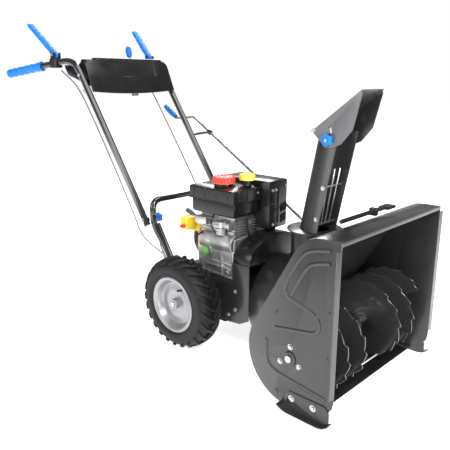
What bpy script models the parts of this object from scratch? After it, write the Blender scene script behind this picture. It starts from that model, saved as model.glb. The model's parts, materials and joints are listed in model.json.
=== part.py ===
"""Walk-behind snow thrower with an auger, a blower fan, a turning chute and a folding handlebar.

Metres, +Z up.  While it is modelled, y = 0 is the wheel axle, -Y is forward, +X is the operator's
left and z = 0 is the ground.  The last step centres the machine on its footprint.
"""
from math import atan2, cos, pi, radians, sin, sqrt

import bmesh
import bpy
from mathutils import Matrix, Vector

# Whole machine
GAP = 0.0003                    # between pieces that touch
SHEET = 0.003                   # pressed steel
Y_CENTRE = 0.1497               # middle of the footprint, measured from the axle

# Auger housing
HOUSING_HALF = 0.290
MOUTH_Y = -0.665
PLATE_TOP = 0.524
LIP_WIDTH = 0.022
AUGER_AXIS = (-0.517, 0.156)    # y, z
DRUM_WRAP = 0.153               # radius of the housing's back around the auger
BACK_SLOPE = radians(27)        # lean of the housing's upper back
TOP_ROUND = 0.100
AUGER_RADIUS = 0.138
AUGER_PITCH = 0.090
SHAFT_RADIUS = 0.010

# Impeller, its drum and the chute's neck
FAN_Z = 0.185
FAN_DRUM_RADIUS = 0.152
FAN_RADIUS = 0.140
DRUM_REAR = -0.2403
CHUTE_Y = -0.385
NECK_RADIUS = 0.073
NECK_TOP = 0.452

# Chute
CHUTE_HALF = 0.055
CHUTE_LEAN = 0.197              # forward travel for each metre of height
CHUTE_TOP = 0.765
CHUTE_FLANGE = 0.088
HINGE = (-0.402, 0.7705)        # y, z of the deflector's hinge
CLAMP = (-0.458, 0.745)         # y, z of the deflector's clamp bolt
DEFLECTOR_DROP = radians(35)

# Wheels and chassis
WHEEL_RADIUS = 0.164
TYRE_WIDTH = 0.104
WHEEL_OUTER = 0.2826
RIM_RADIUS = 0.088
CHASSIS_HALF = 0.150
DECK_Z = 0.252
CRANK_Z = 0.345                 # engine shaft
BELT_Y = -0.2075
ENGINE_GROOVE = 0.020
FAN_GROOVE = 0.055
FRICTION_SHAFT = (-0.075, 0.200)
AXLE_TEETH = 24
PINION_TEETH = 12
GEAR_MODULE = 0.0046

# Handlebar
TUBE_RADIUS = 0.0125
UPRIGHT_X = 0.206
FOLD = (0.219, 0.414)           # y, z of the fold pivot
LEG_X = 0.1803
BEND = Vector((0.209, 0.622, 0.990))
BAR_END = Vector((0.314, 0.960, 0.936))
LEVER_PIVOT = Vector((0.237, 0.712, 1.008))
LEVER_LENGTH = 0.185
LEVER_RISE = radians(41)
LEVER_YAW = radians(11)

# Chute crank, on the operator's left
CRANK_FOOT = Vector((0.062, -0.316, 0.4412))
CRANK_EYE = Vector((0.280, 0.368, 0.693))
CRANK_ARM = Vector((-0.945, 0.322, -0.055)).normalized()
CRANK_ELBOW = 0.168             # from the eye to the bend
CRANK_THROW = 0.080
CRANK_GRIP = 0.140
SHAFT_STUB = 0.045              # the pinion's shaft, from its foot to the rod
ROD_RADIUS = 0.005
EYE_FOOT_Y = 0.408              # where the eye's arm meets the upright

# Small controls
SHIFT_PIVOT = Vector((0.091, 0.636, 0.852))
SHIFT_TIP = Vector((0.091, 0.668, 1.018))
STARTER_PORT = Vector((-0.055, 0.118, 0.425))
STARTER_LINE = Vector((0, 0.94, 0.34)).normalized()
TANK_CAP = Vector((-0.100, -0.080, 0.5825))
FILLER = Vector((-0.050, -0.140, 0.5703))
DIPSTICK = Vector((-0.1253, -0.030, 0.336))
KEY = Vector((-0.150, 0.070, 0.409))
KNOB_X = 0.1500                 # outer face of the fold knobs' lobes


# ------------------------------------------------------------------ tools

def empty_scene():
    for thing in list(bpy.data.objects):
        bpy.data.objects.remove(thing, do_unlink=True)


def material(name, colour, roughness, metallic=0.0):
    made = bpy.data.materials.new(name)
    made.use_nodes = True
    shader = made.node_tree.nodes["Principled BSDF"]
    shader.inputs["Base Color"].default_value = (*colour, 1.0)
    shader.inputs["Roughness"].default_value = roughness
    shader.inputs["Metallic"].default_value = metallic
    return made


def add_object(name, mesh, finish):
    mesh.materials.append(finish)
    thing = bpy.data.objects.new(name, mesh)
    bpy.context.collection.objects.link(thing)
    return thing


def from_bmesh(name, bm, finish, smooth=False):
    bmesh.ops.recalc_face_normals(bm, faces=bm.faces)
    mesh = bpy.data.meshes.new(name)
    bm.to_mesh(mesh)
    bm.free()
    if smooth:
        mesh.shade_smooth()
        mesh.set_sharp_from_angle(angle=radians(35))
    return add_object(name, mesh, finish)


def prism(name, outline, low, high, axis, finish):
    """A flat outline pushed along an axis: X takes (y, z), Y takes (x, z) and Z takes (x, y)."""
    def place(point, along):
        if axis == "X":
            return (along, point[0], point[1])
        if axis == "Y":
            return (point[0], along, point[1])
        return (point[0], point[1], along)
    bm = bmesh.new()
    bottom = [bm.verts.new(place(point, low)) for point in outline]
    top = [bm.verts.new(place(point, high)) for point in outline]
    bm.faces.new(bottom)
    bm.faces.new(reversed(top))
    for i in range(len(outline)):
        j = (i + 1) % len(outline)
        bm.faces.new((bottom[i], top[i], top[j], bottom[j]))
    return from_bmesh(name, bm, finish)


def box(name, low, high, finish):
    outline = [(low[0], low[1]), (high[0], low[1]), (high[0], high[1]), (low[0], high[1])]
    return prism(name, outline, low[2], high[2], "Z", finish)


def soften(thing, width, segments=2):
    bevel = thing.modifiers.new("soft edges", "BEVEL")
    bevel.width = width
    bevel.segments = segments
    bevel.limit_method = "ANGLE"
    bevel.angle_limit = radians(40)


def aim(origin, direction):
    turn = Vector(direction).to_track_quat("Z", "Y").to_matrix().to_4x4()
    return Matrix.Translation(origin) @ turn


def turned(name, profile, origin, direction, finish, steps=24, ring=False):
    """Turns (radius, height) points about a line.  A ring's last point joins its first."""
    bm = bmesh.new()
    matrix = aim(origin, direction)
    rows = []
    for radius, height in profile:
        if radius < 1e-6:
            rows.append([bm.verts.new(matrix @ Vector((0, 0, height)))])
            continue
        angles = [2 * pi * k / steps for k in range(steps)]
        rows.append([bm.verts.new(matrix @ Vector((radius * cos(a), radius * sin(a), height)))
                     for a in angles])
    pairs = list(zip(rows, rows[1:]))
    if ring:
        pairs.append((rows[-1], rows[0]))
    for lower, upper in pairs:
        if len(lower) == len(upper) == 1:
            continue
        for k in range(steps):
            n = (k + 1) % steps
            if len(lower) == 1:
                bm.faces.new((lower[0], upper[k], upper[n]))
            elif len(upper) == 1:
                bm.faces.new((lower[k], upper[0], lower[n]))
            else:
                bm.faces.new((lower[k], upper[k], upper[n], lower[n]))
    return from_bmesh(name, bm, finish, smooth=True)


def rod(name, start, end, radius, finish, steps=12):
    start = Vector(start)
    line = Vector(end) - start
    profile = [(0, 0), (radius, 0), (radius, line.length), (0, line.length)]
    return turned(name, profile, start, line, finish, steps)


def pipe(name, start, end, inner, outer, finish, steps=16):
    start = Vector(start)
    line = Vector(end) - start
    profile = [(inner, 0), (outer, 0), (outer, line.length), (inner, line.length)]
    return turned(name, profile, start, line, finish, steps, ring=True)


def rounded(points, radius, steps=4):
    """A path with each inner corner turned into a curve that starts this far from the corner."""
    points = [Vector(point) for point in points]
    path = [points[0]]
    for before, corner, after in zip(points, points[1:], points[2:]):
        start = corner + (before - corner).normalized() * radius
        end = corner + (after - corner).normalized() * radius
        for k in range(steps + 1):
            t = k / steps
            path.append(start * (1 - t) ** 2 + corner * 2 * t * (1 - t) + end * t ** 2)
    path.append(points[-1])
    return path


def smooth_path(points, per_span):
    """A Catmull-Rom curve through the points."""
    points = [Vector(point) for point in points]
    padded = [2 * points[0] - points[1], *points, 2 * points[-1] - points[-2]]
    path = []
    for a, b, c, d in zip(padded, padded[1:], padded[2:], padded[3:]):
        for k in range(per_span):
            t = k / per_span
            path.append(0.5 * (2 * b + (c - a) * t + (2 * a - 5 * b + 4 * c - d) * t ** 2
                               + (3 * b - a - 3 * c + d) * t ** 3))
    path.append(points[-1])
    return path


def tube(name, path, radius, finish, resolution=2):
    curve = bpy.data.curves.new(name, "CURVE")
    curve.dimensions = "3D"
    curve.bevel_depth = radius
    curve.bevel_resolution = resolution
    curve.use_fill_caps = True
    spline = curve.splines.new("POLY")
    spline.points.add(len(path) - 1)
    for point, place in zip(spline.points, path):
        point.co = (*place, 1.0)
    curve.materials.append(finish)
    thing = bpy.data.objects.new(name, curve)
    bpy.context.collection.objects.link(thing)
    return thing


def tube_mesh(name, path, radius, finish, resolution=2):
    guide = tube(name + "_guide", path, radius, finish, resolution)
    depsgraph = bpy.context.evaluated_depsgraph_get()
    mesh = bpy.data.meshes.new_from_object(guide.evaluated_get(depsgraph))
    bpy.data.objects.remove(guide, do_unlink=True)
    bm = bmesh.new()
    bm.from_mesh(mesh)
    bmesh.ops.remove_doubles(bm, verts=bm.verts, dist=0.00001)
    return from_bmesh(name, bm, finish, smooth=True)


def combine(target, tool, operation):
    modifier = target.modifiers.new(operation.lower(), "BOOLEAN")
    modifier.operation = operation
    modifier.solver = "EXACT"
    modifier.object = tool
    tool.hide_render = True
    tool.display_type = "WIRE"
    tool.parent = target.parent


def cut(target, tool):
    combine(target, tool, "DIFFERENCE")


def fuse(target, *tools):
    for tool in tools:
        combine(target, tool, "UNION")


def arc(centre, radius, start, end, steps):
    """Points of an arc, angles in radians from the first axis."""
    return [(centre[0] + radius * cos(start + (end - start) * k / steps),
             centre[1] + radius * sin(start + (end - start) * k / steps)) for k in range(steps + 1)]


def strip(path, thickness):
    """The outline of a bent sheet: the path, and the same path moved to its left."""
    moved = []
    last = len(path) - 1
    for i, (a, b) in enumerate(path):
        ahead = Vector(path[min(i + 1, last)]) - Vector((a, b))
        behind = Vector((a, b)) - Vector(path[max(i - 1, 0)])
        ahead = ahead.normalized() if i < last else behind.normalized()
        behind = behind.normalized() if i > 0 else ahead
        side = Vector((-(ahead.y + behind.y), ahead.x + behind.x)).normalized()
        stretch = max(0.5, side.dot(Vector((-ahead.y, ahead.x))))
        moved.append((a + side.x * thickness / stretch, b + side.y * thickness / stretch))
    return path + moved[::-1]


def joint_point(name, place, parent=None):
    marker = bpy.data.objects.new(name, None)
    marker.empty_display_size = 0.04
    bpy.context.collection.objects.link(marker)
    marker["place"] = [float(value) for value in place]
    marker.location = place
    if parent:
        marker.parent = parent
        marker.location = Vector(place) - Vector(parent["place"])
    return marker


def hang(marker, *things):
    """Puts finished pieces, and whatever cuts or joins them, on a joint's empty."""
    for thing in things:
        group = [thing] + [m.object for m in thing.modifiers if m.type == "BOOLEAN"]
        for member in group:
            member.parent = marker
            member.location = -Vector(marker["place"])


def mirrored(point, side):
    return Vector((side * point[0], point[1], point[2]))


# ------------------------------------------------------------------ finishes

def make_finishes():
    return {
        "steel_paint": material("steel_paint", (0.035, 0.036, 0.038), 0.38, 0.35),
        "gloss_paint": material("gloss_paint", (0.012, 0.012, 0.013), 0.18, 0.2),
        "black_plastic": material("black_plastic", (0.016, 0.016, 0.017), 0.42),
        "rubber": material("rubber", (0.022, 0.022, 0.022), 0.8),
        "rim_paint": material("rim_paint", (0.72, 0.73, 0.74), 0.35, 0.4),
        "cast": material("cast", (0.45, 0.45, 0.45), 0.45, 0.85),
        "zinc": material("zinc", (0.55, 0.55, 0.54), 0.3, 1.0),
        "blue": material("blue", (0.005, 0.24, 0.80), 0.35),
        "red": material("red", (0.75, 0.03, 0.02), 0.35),
        "yellow": material("yellow", (0.88, 0.62, 0.05), 0.4),
        "green": material("green", (0.06, 0.30, 0.05), 0.45),
    }


# ------------------------------------------------------------------ auger housing

def back_path(steps=14):
    """The housing's back: under the auger, round it, up the slope and forward over the top."""
    around = arc(AUGER_AXIS, DRUM_WRAP, radians(-100), BACK_SLOPE, steps)
    crown_centre = (-0.609, PLATE_TOP - TOP_ROUND)
    crown = arc(crown_centre, TOP_ROUND, BACK_SLOPE, radians(90), 5)
    return around + crown


def side_outline():
    corner = arc((-0.612, 0.077), 0.053, radians(180), radians(270), 4)
    return corner + back_path() + [(MOUTH_Y, PLATE_TOP)]


def hex_bolt(name, place, direction, finish, size=0.0065, height=0.005):
    return rod(name, place, Vector(place) + Vector(direction) * height, size, finish, 6)


def make_side_plate(name, side, finish):
    inner = HOUSING_HALF - SHEET
    low, high = sorted((side * inner, side * HOUSING_HALF))
    plate = prism(name, side_outline(), low, high, "X", finish["steel_paint"])
    reach = sorted((side * inner, side * (HOUSING_HALF + LIP_WIDTH)))
    lip = box(name + "_lip", (reach[0], MOUTH_Y, 0.090), (reach[1], MOUTH_Y + SHEET, 0.505),
              finish["steel_paint"])
    fuse(plate, lip)
    face = side * (HOUSING_HALF - 0.001)
    bolts = [(-0.518, 0.192), (-0.484, 0.136), (-0.550, 0.136), (-0.474, 0.036)]
    for number, (y, z) in enumerate(bolts):
        fuse(plate, hex_bolt(f"{name}_bolt_{number}", (face, y, z), (side, 0, 0), finish["zinc"]))
    bore = rod(name + "_bore", (side * 0.27, *AUGER_AXIS), (side * 0.31, *AUGER_AXIS),
               SHAFT_RADIUS + GAP, finish["zinc"], 16)
    cut(plate, bore)
    return plate


def make_housing_shell(finish):
    path = back_path() + [(MOUTH_Y, PLATE_TOP), (MOUTH_Y, PLATE_TOP - 0.012)]
    half = HOUSING_HALF - SHEET - GAP
    shell = prism("housing_shell", strip(path, SHEET), -half, half, "X", finish["steel_paint"])
    hole = rod("housing_hole", (0, -0.50, FAN_Z), (0, -0.30, FAN_Z), FAN_DRUM_RADIUS - SHEET,
               finish["steel_paint"], 32)
    cut(shell, hole)
    return shell


def make_scraper_bar(finish):
    half = HOUSING_HALF - SHEET - GAP
    return box("scraper_bar", (-half, -0.600, 0.0018), (half, -0.547, 0.0048), finish["steel_paint"])


def make_skid_shoe(name, side, finish):
    inner = HOUSING_HALF + GAP
    plate = prism(name, [(-0.655, 0.008), (-0.635, 0.0), (-0.525, 0.0), (-0.505, 0.008),
                         (-0.505, 0.040), (-0.520, 0.056), (-0.640, 0.056), (-0.655, 0.040)],
                  *sorted((side * inner, side * (inner + SHEET))), "X", finish["steel_paint"])
    sole_path = [(-0.492, 0.013), (-0.510, 0.004), (-0.528, 0.0), (-0.632, 0.0), (-0.650, 0.004),
                 (-0.664, 0.013)]
    sole_outline = strip(sole_path, -SHEET)
    sole = prism(name + "_sole", sole_outline, *sorted((side * (inner + 0.0005), side * 0.318)), "X",
                 finish["steel_paint"])
    fuse(plate, sole)
    for number, y in enumerate((-0.530, -0.603)):
        head = hex_bolt(f"{name}_bolt_{number}", (side * (inner + SHEET - 0.001), y, 0.036),
                        (side, 0, 0), finish["zinc"])
        fuse(plate, head)
    return plate


def make_impeller_drum(finish):
    """The round blower housing, its neck for the chute and the bracket of the chute's pinion."""
    paint = finish["steel_paint"]
    outer, inner = FAN_DRUM_RADIUS, FAN_DRUM_RADIUS - SHEET
    bore = SHAFT_RADIUS + GAP
    profile = [(bore, 0), (outer, 0), (outer, 0.230), (inner, 0.230), (inner, SHEET), (bore, SHEET)]
    drum = turned("impeller_drum", profile, (0, DRUM_REAR, FAN_Z), (0, -1, 0), paint, 32, ring=True)
    neck_inner = NECK_RADIUS - SHEET
    foot = (0, CHUTE_Y, 0.250)
    fuse(drum, pipe("drum_neck", foot, (0, CHUTE_Y, NECK_TOP), neck_inner, NECK_RADIUS, paint, 20))
    cut(drum, rod("drum_hollow", (0, DRUM_REAR - SHEET - 0.001, FAN_Z), (0, -0.50, FAN_Z), inner - 0.0005,
                  paint, 28))
    cut(drum, rod("neck_opening", foot, (0, CHUTE_Y, 0.400), neck_inner - 0.0005, paint, 18))
    around = arc(AUGER_AXIS, DRUM_WRAP + GAP, radians(-100), BACK_SLOPE, 14)
    slope_top = (around[-1][0] - sin(BACK_SLOPE) * 0.30, around[-1][1] + cos(BACK_SLOPE) * 0.30)
    outline = around + [slope_top, (-0.80, 0.40), (-0.80, -0.05)]
    cut(drum, prism("drum_front", outline, -0.2, 0.2, "X", paint))
    line = (CRANK_EYE - CRANK_FOOT).normalized()
    level = Vector((line.x, line.y, 0)).normalized()
    across = Vector((-level.y, level.x, 0))
    middle = CRANK_FOOT + line * 0.018
    corners = [middle + across * a + level * b for a, b in
               ((-0.014, -0.002), (0.014, -0.002), (0.014, 0.002), (-0.014, 0.002))]
    fuse(drum, prism("drum_bracket", [(c.x, c.y) for c in corners], 0.3195, 0.4505, "Z", paint))
    cut(drum, rod("bracket_bore", CRANK_FOOT + line * 0.008, CRANK_FOOT + line * 0.03, ROD_RADIUS + GAP,
                  paint, 12))
    return drum


# ------------------------------------------------------------------ augers and impeller

def make_flight(name, side, finish):
    """One helical blade on its hub, wound so that it draws snow to the middle."""
    start, turns, per_turn = 0.056, 2.4, 16
    steps = round(turns * per_turn)
    thick = 0.004
    hub_radius = SHAFT_RADIUS + GAP + 0.0065
    bm = bmesh.new()
    sections = []
    for k in range(steps + 1):
        angle = side * 2 * pi * k / per_turn
        along = start + AUGER_PITCH * k / per_turn
        tooth = 0.008 if k % 2 else 0.0
        section = []
        for radius, offset in ((hub_radius - 0.002, 0), (AUGER_RADIUS - tooth, 0),
                               (AUGER_RADIUS - tooth, thick), (hub_radius - 0.002, thick)):
            section.append(bm.verts.new((side * (along + offset), AUGER_AXIS[0] + radius * cos(angle),
                                         AUGER_AXIS[1] + radius * sin(angle))))
        sections.append(section)
    bm.faces.new(sections[0])
    bm.faces.new(reversed(sections[-1]))
    for first, second in zip(sections, sections[1:]):
        for k in range(4):
            n = (k + 1) % 4
            bm.faces.new((first[k], second[k], second[n], first[n]))
    flight = from_bmesh(name, bm, finish["gloss_paint"])
    hub = pipe(name + "_hub", (side * 0.052, *AUGER_AXIS), (side * 0.280, *AUGER_AXIS),
               SHAFT_RADIUS + GAP, hub_radius, finish["gloss_paint"], 16)
    fuse(flight, hub)
    return flight


def make_gearcase(finish):
    y, z = AUGER_AXIS
    profile = [(SHAFT_RADIUS + GAP, -0.050), (0.021, -0.050), (0.023, -0.034), (0.045, -0.026),
               (0.050, -0.016), (0.050, 0.016), (0.045, 0.026), (0.023, 0.034), (0.021, 0.050),
               (SHAFT_RADIUS + GAP, 0.050)]
    case = turned("auger_gearcase", profile, (0, y, z), (1, 0, 0), finish["gloss_paint"], 16, ring=True)
    nose_start = Vector((0, y + 0.040, FAN_Z))
    nose = pipe("gearcase_nose", nose_start, nose_start + Vector((0, 0.058, 0)), SHAFT_RADIUS + GAP, 0.020,
                finish["gloss_paint"], 20)
    fuse(case, nose)
    cut(case, rod("gearcase_bore", (0, y + 0.026, FAN_Z), (0, y + 0.12, FAN_Z), SHAFT_RADIUS + GAP,
                  finish["gloss_paint"], 16))
    return case


def make_impeller(finish):
    paint = finish["gloss_paint"]
    fan = pipe("impeller_fan", (0, -0.372, FAN_Z), (0, -0.262, FAN_Z), SHAFT_RADIUS + GAP, 0.019, paint, 20)
    for number in range(4):
        blade = box(f"fan_blade_{number}", (0.016, -0.365, -0.002), (FAN_RADIUS, -0.265, 0.002), paint)
        turn = Matrix.Rotation(pi / 4 + number * pi / 2, 4, "Y")
        blade.data.transform(Matrix.Translation((0, 0, FAN_Z)) @ turn)
        fuse(fan, blade)
    shaft = rod("impeller_shaft", (0, -0.477, FAN_Z), (0, -0.190, FAN_Z), SHAFT_RADIUS, finish["zinc"], 16)
    pulley = pulley_wheel("impeller_pulley", FAN_Z, FAN_GROOVE, SHAFT_RADIUS + GAP, finish)
    return fan, shaft, pulley


def pulley_wheel(name, z, groove, bore, finish):
    profile = [(bore, -0.009), (groove + 0.008, -0.009), (groove + 0.008, -0.007), (groove, -0.0045),
               (groove, 0.0045), (groove + 0.008, 0.007), (groove + 0.008, 0.009), (bore, 0.009)]
    ring = bore > 0
    if not ring:
        profile[0] = (0, -0.009)
        profile[-1] = (0, 0.009)
    return turned(name, profile, (0, BELT_Y, z), (0, 1, 0), finish["cast"], 24, ring)


def make_belt(finish):
    """The loop round the two pulleys, straight between their tangent points."""
    def loop(extra):
        big = FAN_GROOVE + extra
        small = ENGINE_GROOVE + extra
        lean = atan2(big - small, CRANK_Z - FAN_Z)
        return (arc((0, CRANK_Z), small, lean, pi - lean, 8)
                + arc((0, FAN_Z), big, pi - lean, 2 * pi + lean, 16))
    belt = prism("auger_belt", loop(0.0065), BELT_Y - 0.004, BELT_Y + 0.004, "Y", finish["rubber"])
    cut(belt, prism("belt_inside", loop(0.0010), BELT_Y - 0.01, BELT_Y + 0.01, "Y", finish["rubber"]))
    return belt


# ------------------------------------------------------------------ chassis and drive

def make_chassis(finish):
    paint = finish["steel_paint"]
    front = DRUM_REAR + GAP
    tower_rear = -0.165
    outline = [(0.105, 0.105), (-0.136, 0.107), (-0.200, 0.113), (front, 0.135), (front, 0.325),
               (tower_rear, 0.325), (tower_rear, DECK_Z), (0.105, DECK_Z)]
    chassis = prism("chassis_box", outline, -CHASSIS_HALF, CHASSIS_HALF, "X", paint)
    inner = CHASSIS_HALF - SHEET
    front_hollow = [(-0.30, 0.02), (tower_rear - SHEET, 0.02), (tower_rear - SHEET, 0.40), (-0.30, 0.40)]
    rear_hollow = [(tower_rear, 0.02), (0.102, 0.02), (0.102, DECK_Z - SHEET), (tower_rear, DECK_Z - SHEET)]
    cut(chassis, prism("chassis_front_hollow", front_hollow, -inner, inner, "X", paint))
    cut(chassis, prism("chassis_rear_hollow", rear_hollow, -inner, inner, "X", paint))
    cut(chassis, rod("axle_bores", (-0.2, 0, WHEEL_RADIUS), (0.2, 0, WHEEL_RADIUS), 0.0095 + GAP, paint, 16))
    cut(chassis, rod("hex_bores", (-0.2, *FRICTION_SHAFT), (0.2, *FRICTION_SHAFT), 0.0068, paint, 12))
    cut(chassis, rod("crank_hole", (0, -0.19, CRANK_Z), (0, -0.14, CRANK_Z), 0.032, paint, 20))
    return chassis


def make_bottom_cover(finish):
    return box("bottom_cover", (-0.145, -0.130, 0.0990), (0.145, 0.100, 0.1020), finish["steel_paint"])


def make_belt_cover(finish):
    plastic = finish["black_plastic"]
    low, high = 0.3253, 0.409
    def outline(inset, foot):
        spread = 0.146 - inset
        crown = arc((0, low), 1.0, 0, pi, 16)
        points = [(spread * x, low + (high - inset - low) * (z - low) ** 0.8) for x, z in crown]
        return [(spread, foot)] + points + [(-spread, foot)]
    cover = prism("belt_cover", outline(0, low - 0.0001), DRUM_REAR + GAP, -0.1655, "Y", plastic)
    cut(cover, prism("belt_cover_hollow", outline(SHEET, low - 0.02), DRUM_REAR + GAP + SHEET,
                     -0.1655 - SHEET, "Y", plastic))
    cut(cover, rod("cover_hole", (0, -0.19, CRANK_Z), (0, -0.14, CRANK_Z), 0.032, plastic, 20))
    return cover


def gear(name, centre, x, width, teeth, bore, phase, finish):
    """A spur gear on an X axis: pitch radius is half of module times teeth."""
    pitch = GEAR_MODULE * teeth / 2
    outline = []
    for tooth in range(teeth):
        for part, radius in ((-0.30, pitch - 0.0050), (-0.14, pitch + 0.0040), (0.14, pitch + 0.0040),
                             (0.30, pitch - 0.0050)):
            angle = phase + (tooth + part) * 2 * pi / teeth
            outline.append((centre[0] + radius * cos(angle), centre[1] + radius * sin(angle)))
    wheel = prism(name, outline, x - width / 2, x + width / 2, "X", finish["cast"])
    if bore:
        cut(wheel, rod(name + "_bore", (x - 0.03, *centre), (x + 0.03, *centre), bore, finish["cast"], 16))
    return wheel


def make_drive(finish):
    line = atan2(FRICTION_SHAFT[1] - WHEEL_RADIUS, FRICTION_SHAFT[0])
    axle_gear = gear("axle_gear", (0, WHEEL_RADIUS), 0.120, 0.012, AXLE_TEETH, 0.0095 + GAP, line, finish)
    pinion = gear("pinion", FRICTION_SHAFT, 0.120, 0.012, PINION_TEETH, 0, line + pi + pi / PINION_TEETH,
                  finish)
    wheel = turned("friction_wheel", [(0, -0.158), (0.006, -0.158), (0.006, -0.010), (0.036, -0.006),
                                      (0.045, -0.005), (0.045, 0.005), (0.036, 0.006), (0.006, 0.010),
                                      (0.006, 0.158), (0, 0.158)],
                   (0, *FRICTION_SHAFT), (1, 0, 0), finish["rubber"], 20)
    fuse(wheel, pinion)
    return axle_gear, wheel


# ------------------------------------------------------------------ wheels

def make_tyre(name, side, finish):
    half = TYRE_WIDTH / 2
    bead = RIM_RADIUS + 0.0012
    profile = [(bead, -0.041), (0.112, -half), (0.144, -half), (0.158, -0.042), (WHEEL_RADIUS, -0.020),
               (WHEEL_RADIUS, 0.020), (0.158, 0.042), (0.144, half), (0.112, half), (bead, 0.041),
               (bead, 0.032), (0.140, 0.042), (0.152, 0.018), (0.152, -0.018), (0.140, -0.042),
               (bead, -0.032)]
    centre = (side * (WHEEL_OUTER - half), 0, WHEEL_RADIUS)
    return turned(name, profile, centre, (1, 0, 0), finish["rubber"], 24, ring=True)


def make_rim(name, side, finish):
    bore = 0.0095 + GAP
    profile = [(bore, -0.046), (0.0150, -0.046), (0.0150, 0.004), (0.040, 0.012), (0.072, 0.012),
               (0.080, -0.040), (RIM_RADIUS, -0.044), (RIM_RADIUS, 0.044), (0.082, 0.042), (0.074, 0.016),
               (0.040, 0.016), (0.0165, 0.012), (0.0165, 0.034), (bore, 0.034)]
    centre = (side * (WHEEL_OUTER - TYRE_WIDTH / 2), 0, WHEEL_RADIUS)
    return turned(name, profile, centre, (side, 0, 0), finish["rim_paint"], 24, ring=True)


def make_axle(finish):
    return rod("wheel_axle", (-0.272, 0, WHEEL_RADIUS), (0.272, 0, WHEEL_RADIUS), 0.0095, finish["zinc"], 16)


# ------------------------------------------------------------------ engine

def make_engine(finish):
    cast, plastic = finish["cast"], finish["black_plastic"]
    deck = DECK_Z + GAP
    block = box("engine_block", (-0.125, -0.150, deck), (0.085, 0.030, 0.395), cast)
    soften(block, 0.010)
    upper = box("engine_upper", (-0.112, -0.140, 0.380), (-0.0095, 0.020, 0.466), cast)
    fuse(block, upper)
    fuse(block, rod("drain_boss", (-0.110, -0.142, 0.333), (-0.110, -0.162, 0.333), 0.009, cast, 6))
    bore = rod("engine_bore", (0, -0.20, CRANK_Z), (0, -0.100, CRANK_Z), 0.0123, cast, 16)
    cut(block, bore)
    tank = box("fuel_tank", (-0.150, -0.170, 0.470), (-0.012, 0.040, 0.570), plastic)
    soften(tank, 0.016)
    fuse(tank, rod("tank_neck", (-0.100, -0.080, 0.560), (-0.100, -0.080, 0.5825), 0.026, plastic, 20))
    hood = box("engine_hood", (-0.0085, -0.205, 0.4125), (0.088, 0.010, 0.583), plastic)
    soften(hood, 0.014)
    hollow = box("hood_hollow", (-0.0055, -0.202, 0.39), (0.085, 0.007, 0.580), plastic)
    soften(hollow, 0.012)
    cut(hood, hollow)
    starter = turned("starter_housing", [(0, 0), (0.098, 0), (0.098, 0.040), (0.088, 0.056), (0.060, 0.066),
                                         (0, 0.066)], (0, 0.0305, 0.352), (0, 1, 0), plastic, 28)
    guide_start = STARTER_PORT - STARTER_LINE * 0.050
    guide_end = STARTER_PORT - STARTER_LINE * (0.010 + GAP)
    fuse(starter, rod("rope_guide", guide_start, guide_end, 0.009, plastic, 12))
    switch = box("switch_plate", (-0.150, 0.0505, 0.395), (-0.104, 0.0900, 0.440), finish["yellow"])
    soften(switch, 0.004)
    arm = box("switch_arm", (-0.110, 0.0303, 0.385), (-0.0955, 0.095, 0.425), plastic)
    fuse(switch, arm)
    return block, tank, hood, starter, switch


def make_fuel_cap(finish):
    """A cap with a skirt round the filler neck."""
    profile = [(0, 0.0004), (0.0264, 0.0004), (0.0264, -0.009), (0.0335, -0.009), (0.0335, 0.018),
               (0.029, 0.032), (0, 0.034)]
    return turned("fuel_cap", profile, TANK_CAP, (0, 0, 1), finish["red"], 20)


def make_small_controls(finish):
    filler = turned("oil_filler_cap", [(0, 0.0), (0.012, 0.0), (0.012, 0.016), (0.024, 0.018),
                                       (0.024, 0.040), (0.020, 0.043), (0, 0.043)],
                    FILLER, (0, 0, 1), finish["yellow"], 20)
    dipstick = turned("dipstick_cap", [(0, 0), (0.011, 0), (0.011, 0.012), (0.016, 0.014), (0.016, 0.026),
                                       (0, 0.028)],
                      DIPSTICK, (-1, 0, 0), finish["green"], 16)
    key = box("ignition_key", KEY + Vector((-0.014, -0.008, -0.005)), KEY + Vector((-GAP, 0.008, 0.005)),
              finish["red"])
    grip = turned("starter_grip", [(0, -0.010), (0.0065, -0.010), (0.0075, 0.004), (0.010, 0.012),
                                   (0.010, 0.036), (0.007, 0.042), (0, 0.042)],
                  STARTER_PORT, STARTER_LINE, finish["black_plastic"], 16)
    return filler, dipstick, key, grip


# ------------------------------------------------------------------ chute

def make_chute(finish):
    """A forward-leaning channel, open to the front, on a toothed flange."""
    paint = finish["steel_paint"]
    foot = NECK_TOP + 0.002
    leg = 0.035
    outer = [(CHUTE_HALF, -leg)] + arc((0, 0), CHUTE_HALF, 0, pi, 14) + [(-CHUTE_HALF, -leg)]
    inner_half = CHUTE_HALF - SHEET
    inner = [(-inner_half, -leg)] + arc((0, 0), inner_half, pi, 0, 14) + [(inner_half, -leg)]
    section = [(x, y + CHUTE_Y - 0.009) for x, y in outer + inner]
    channel = prism("chute", section, foot, CHUTE_TOP, "Z", paint)
    for vertex in channel.data.vertices:
        vertex.co.y -= CHUTE_LEAN * (vertex.co.z - foot)
    flange = turned("chute_flange", [(0.046, NECK_TOP + GAP), (CHUTE_FLANGE, NECK_TOP + GAP),
                                     (CHUTE_FLANGE, NECK_TOP + 0.0043), (0.046, NECK_TOP + 0.0043)],
                    (0, CHUTE_Y, 0), (0, 0, 1), paint, 36, ring=True)
    fuse(channel, flange)
    return channel


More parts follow.
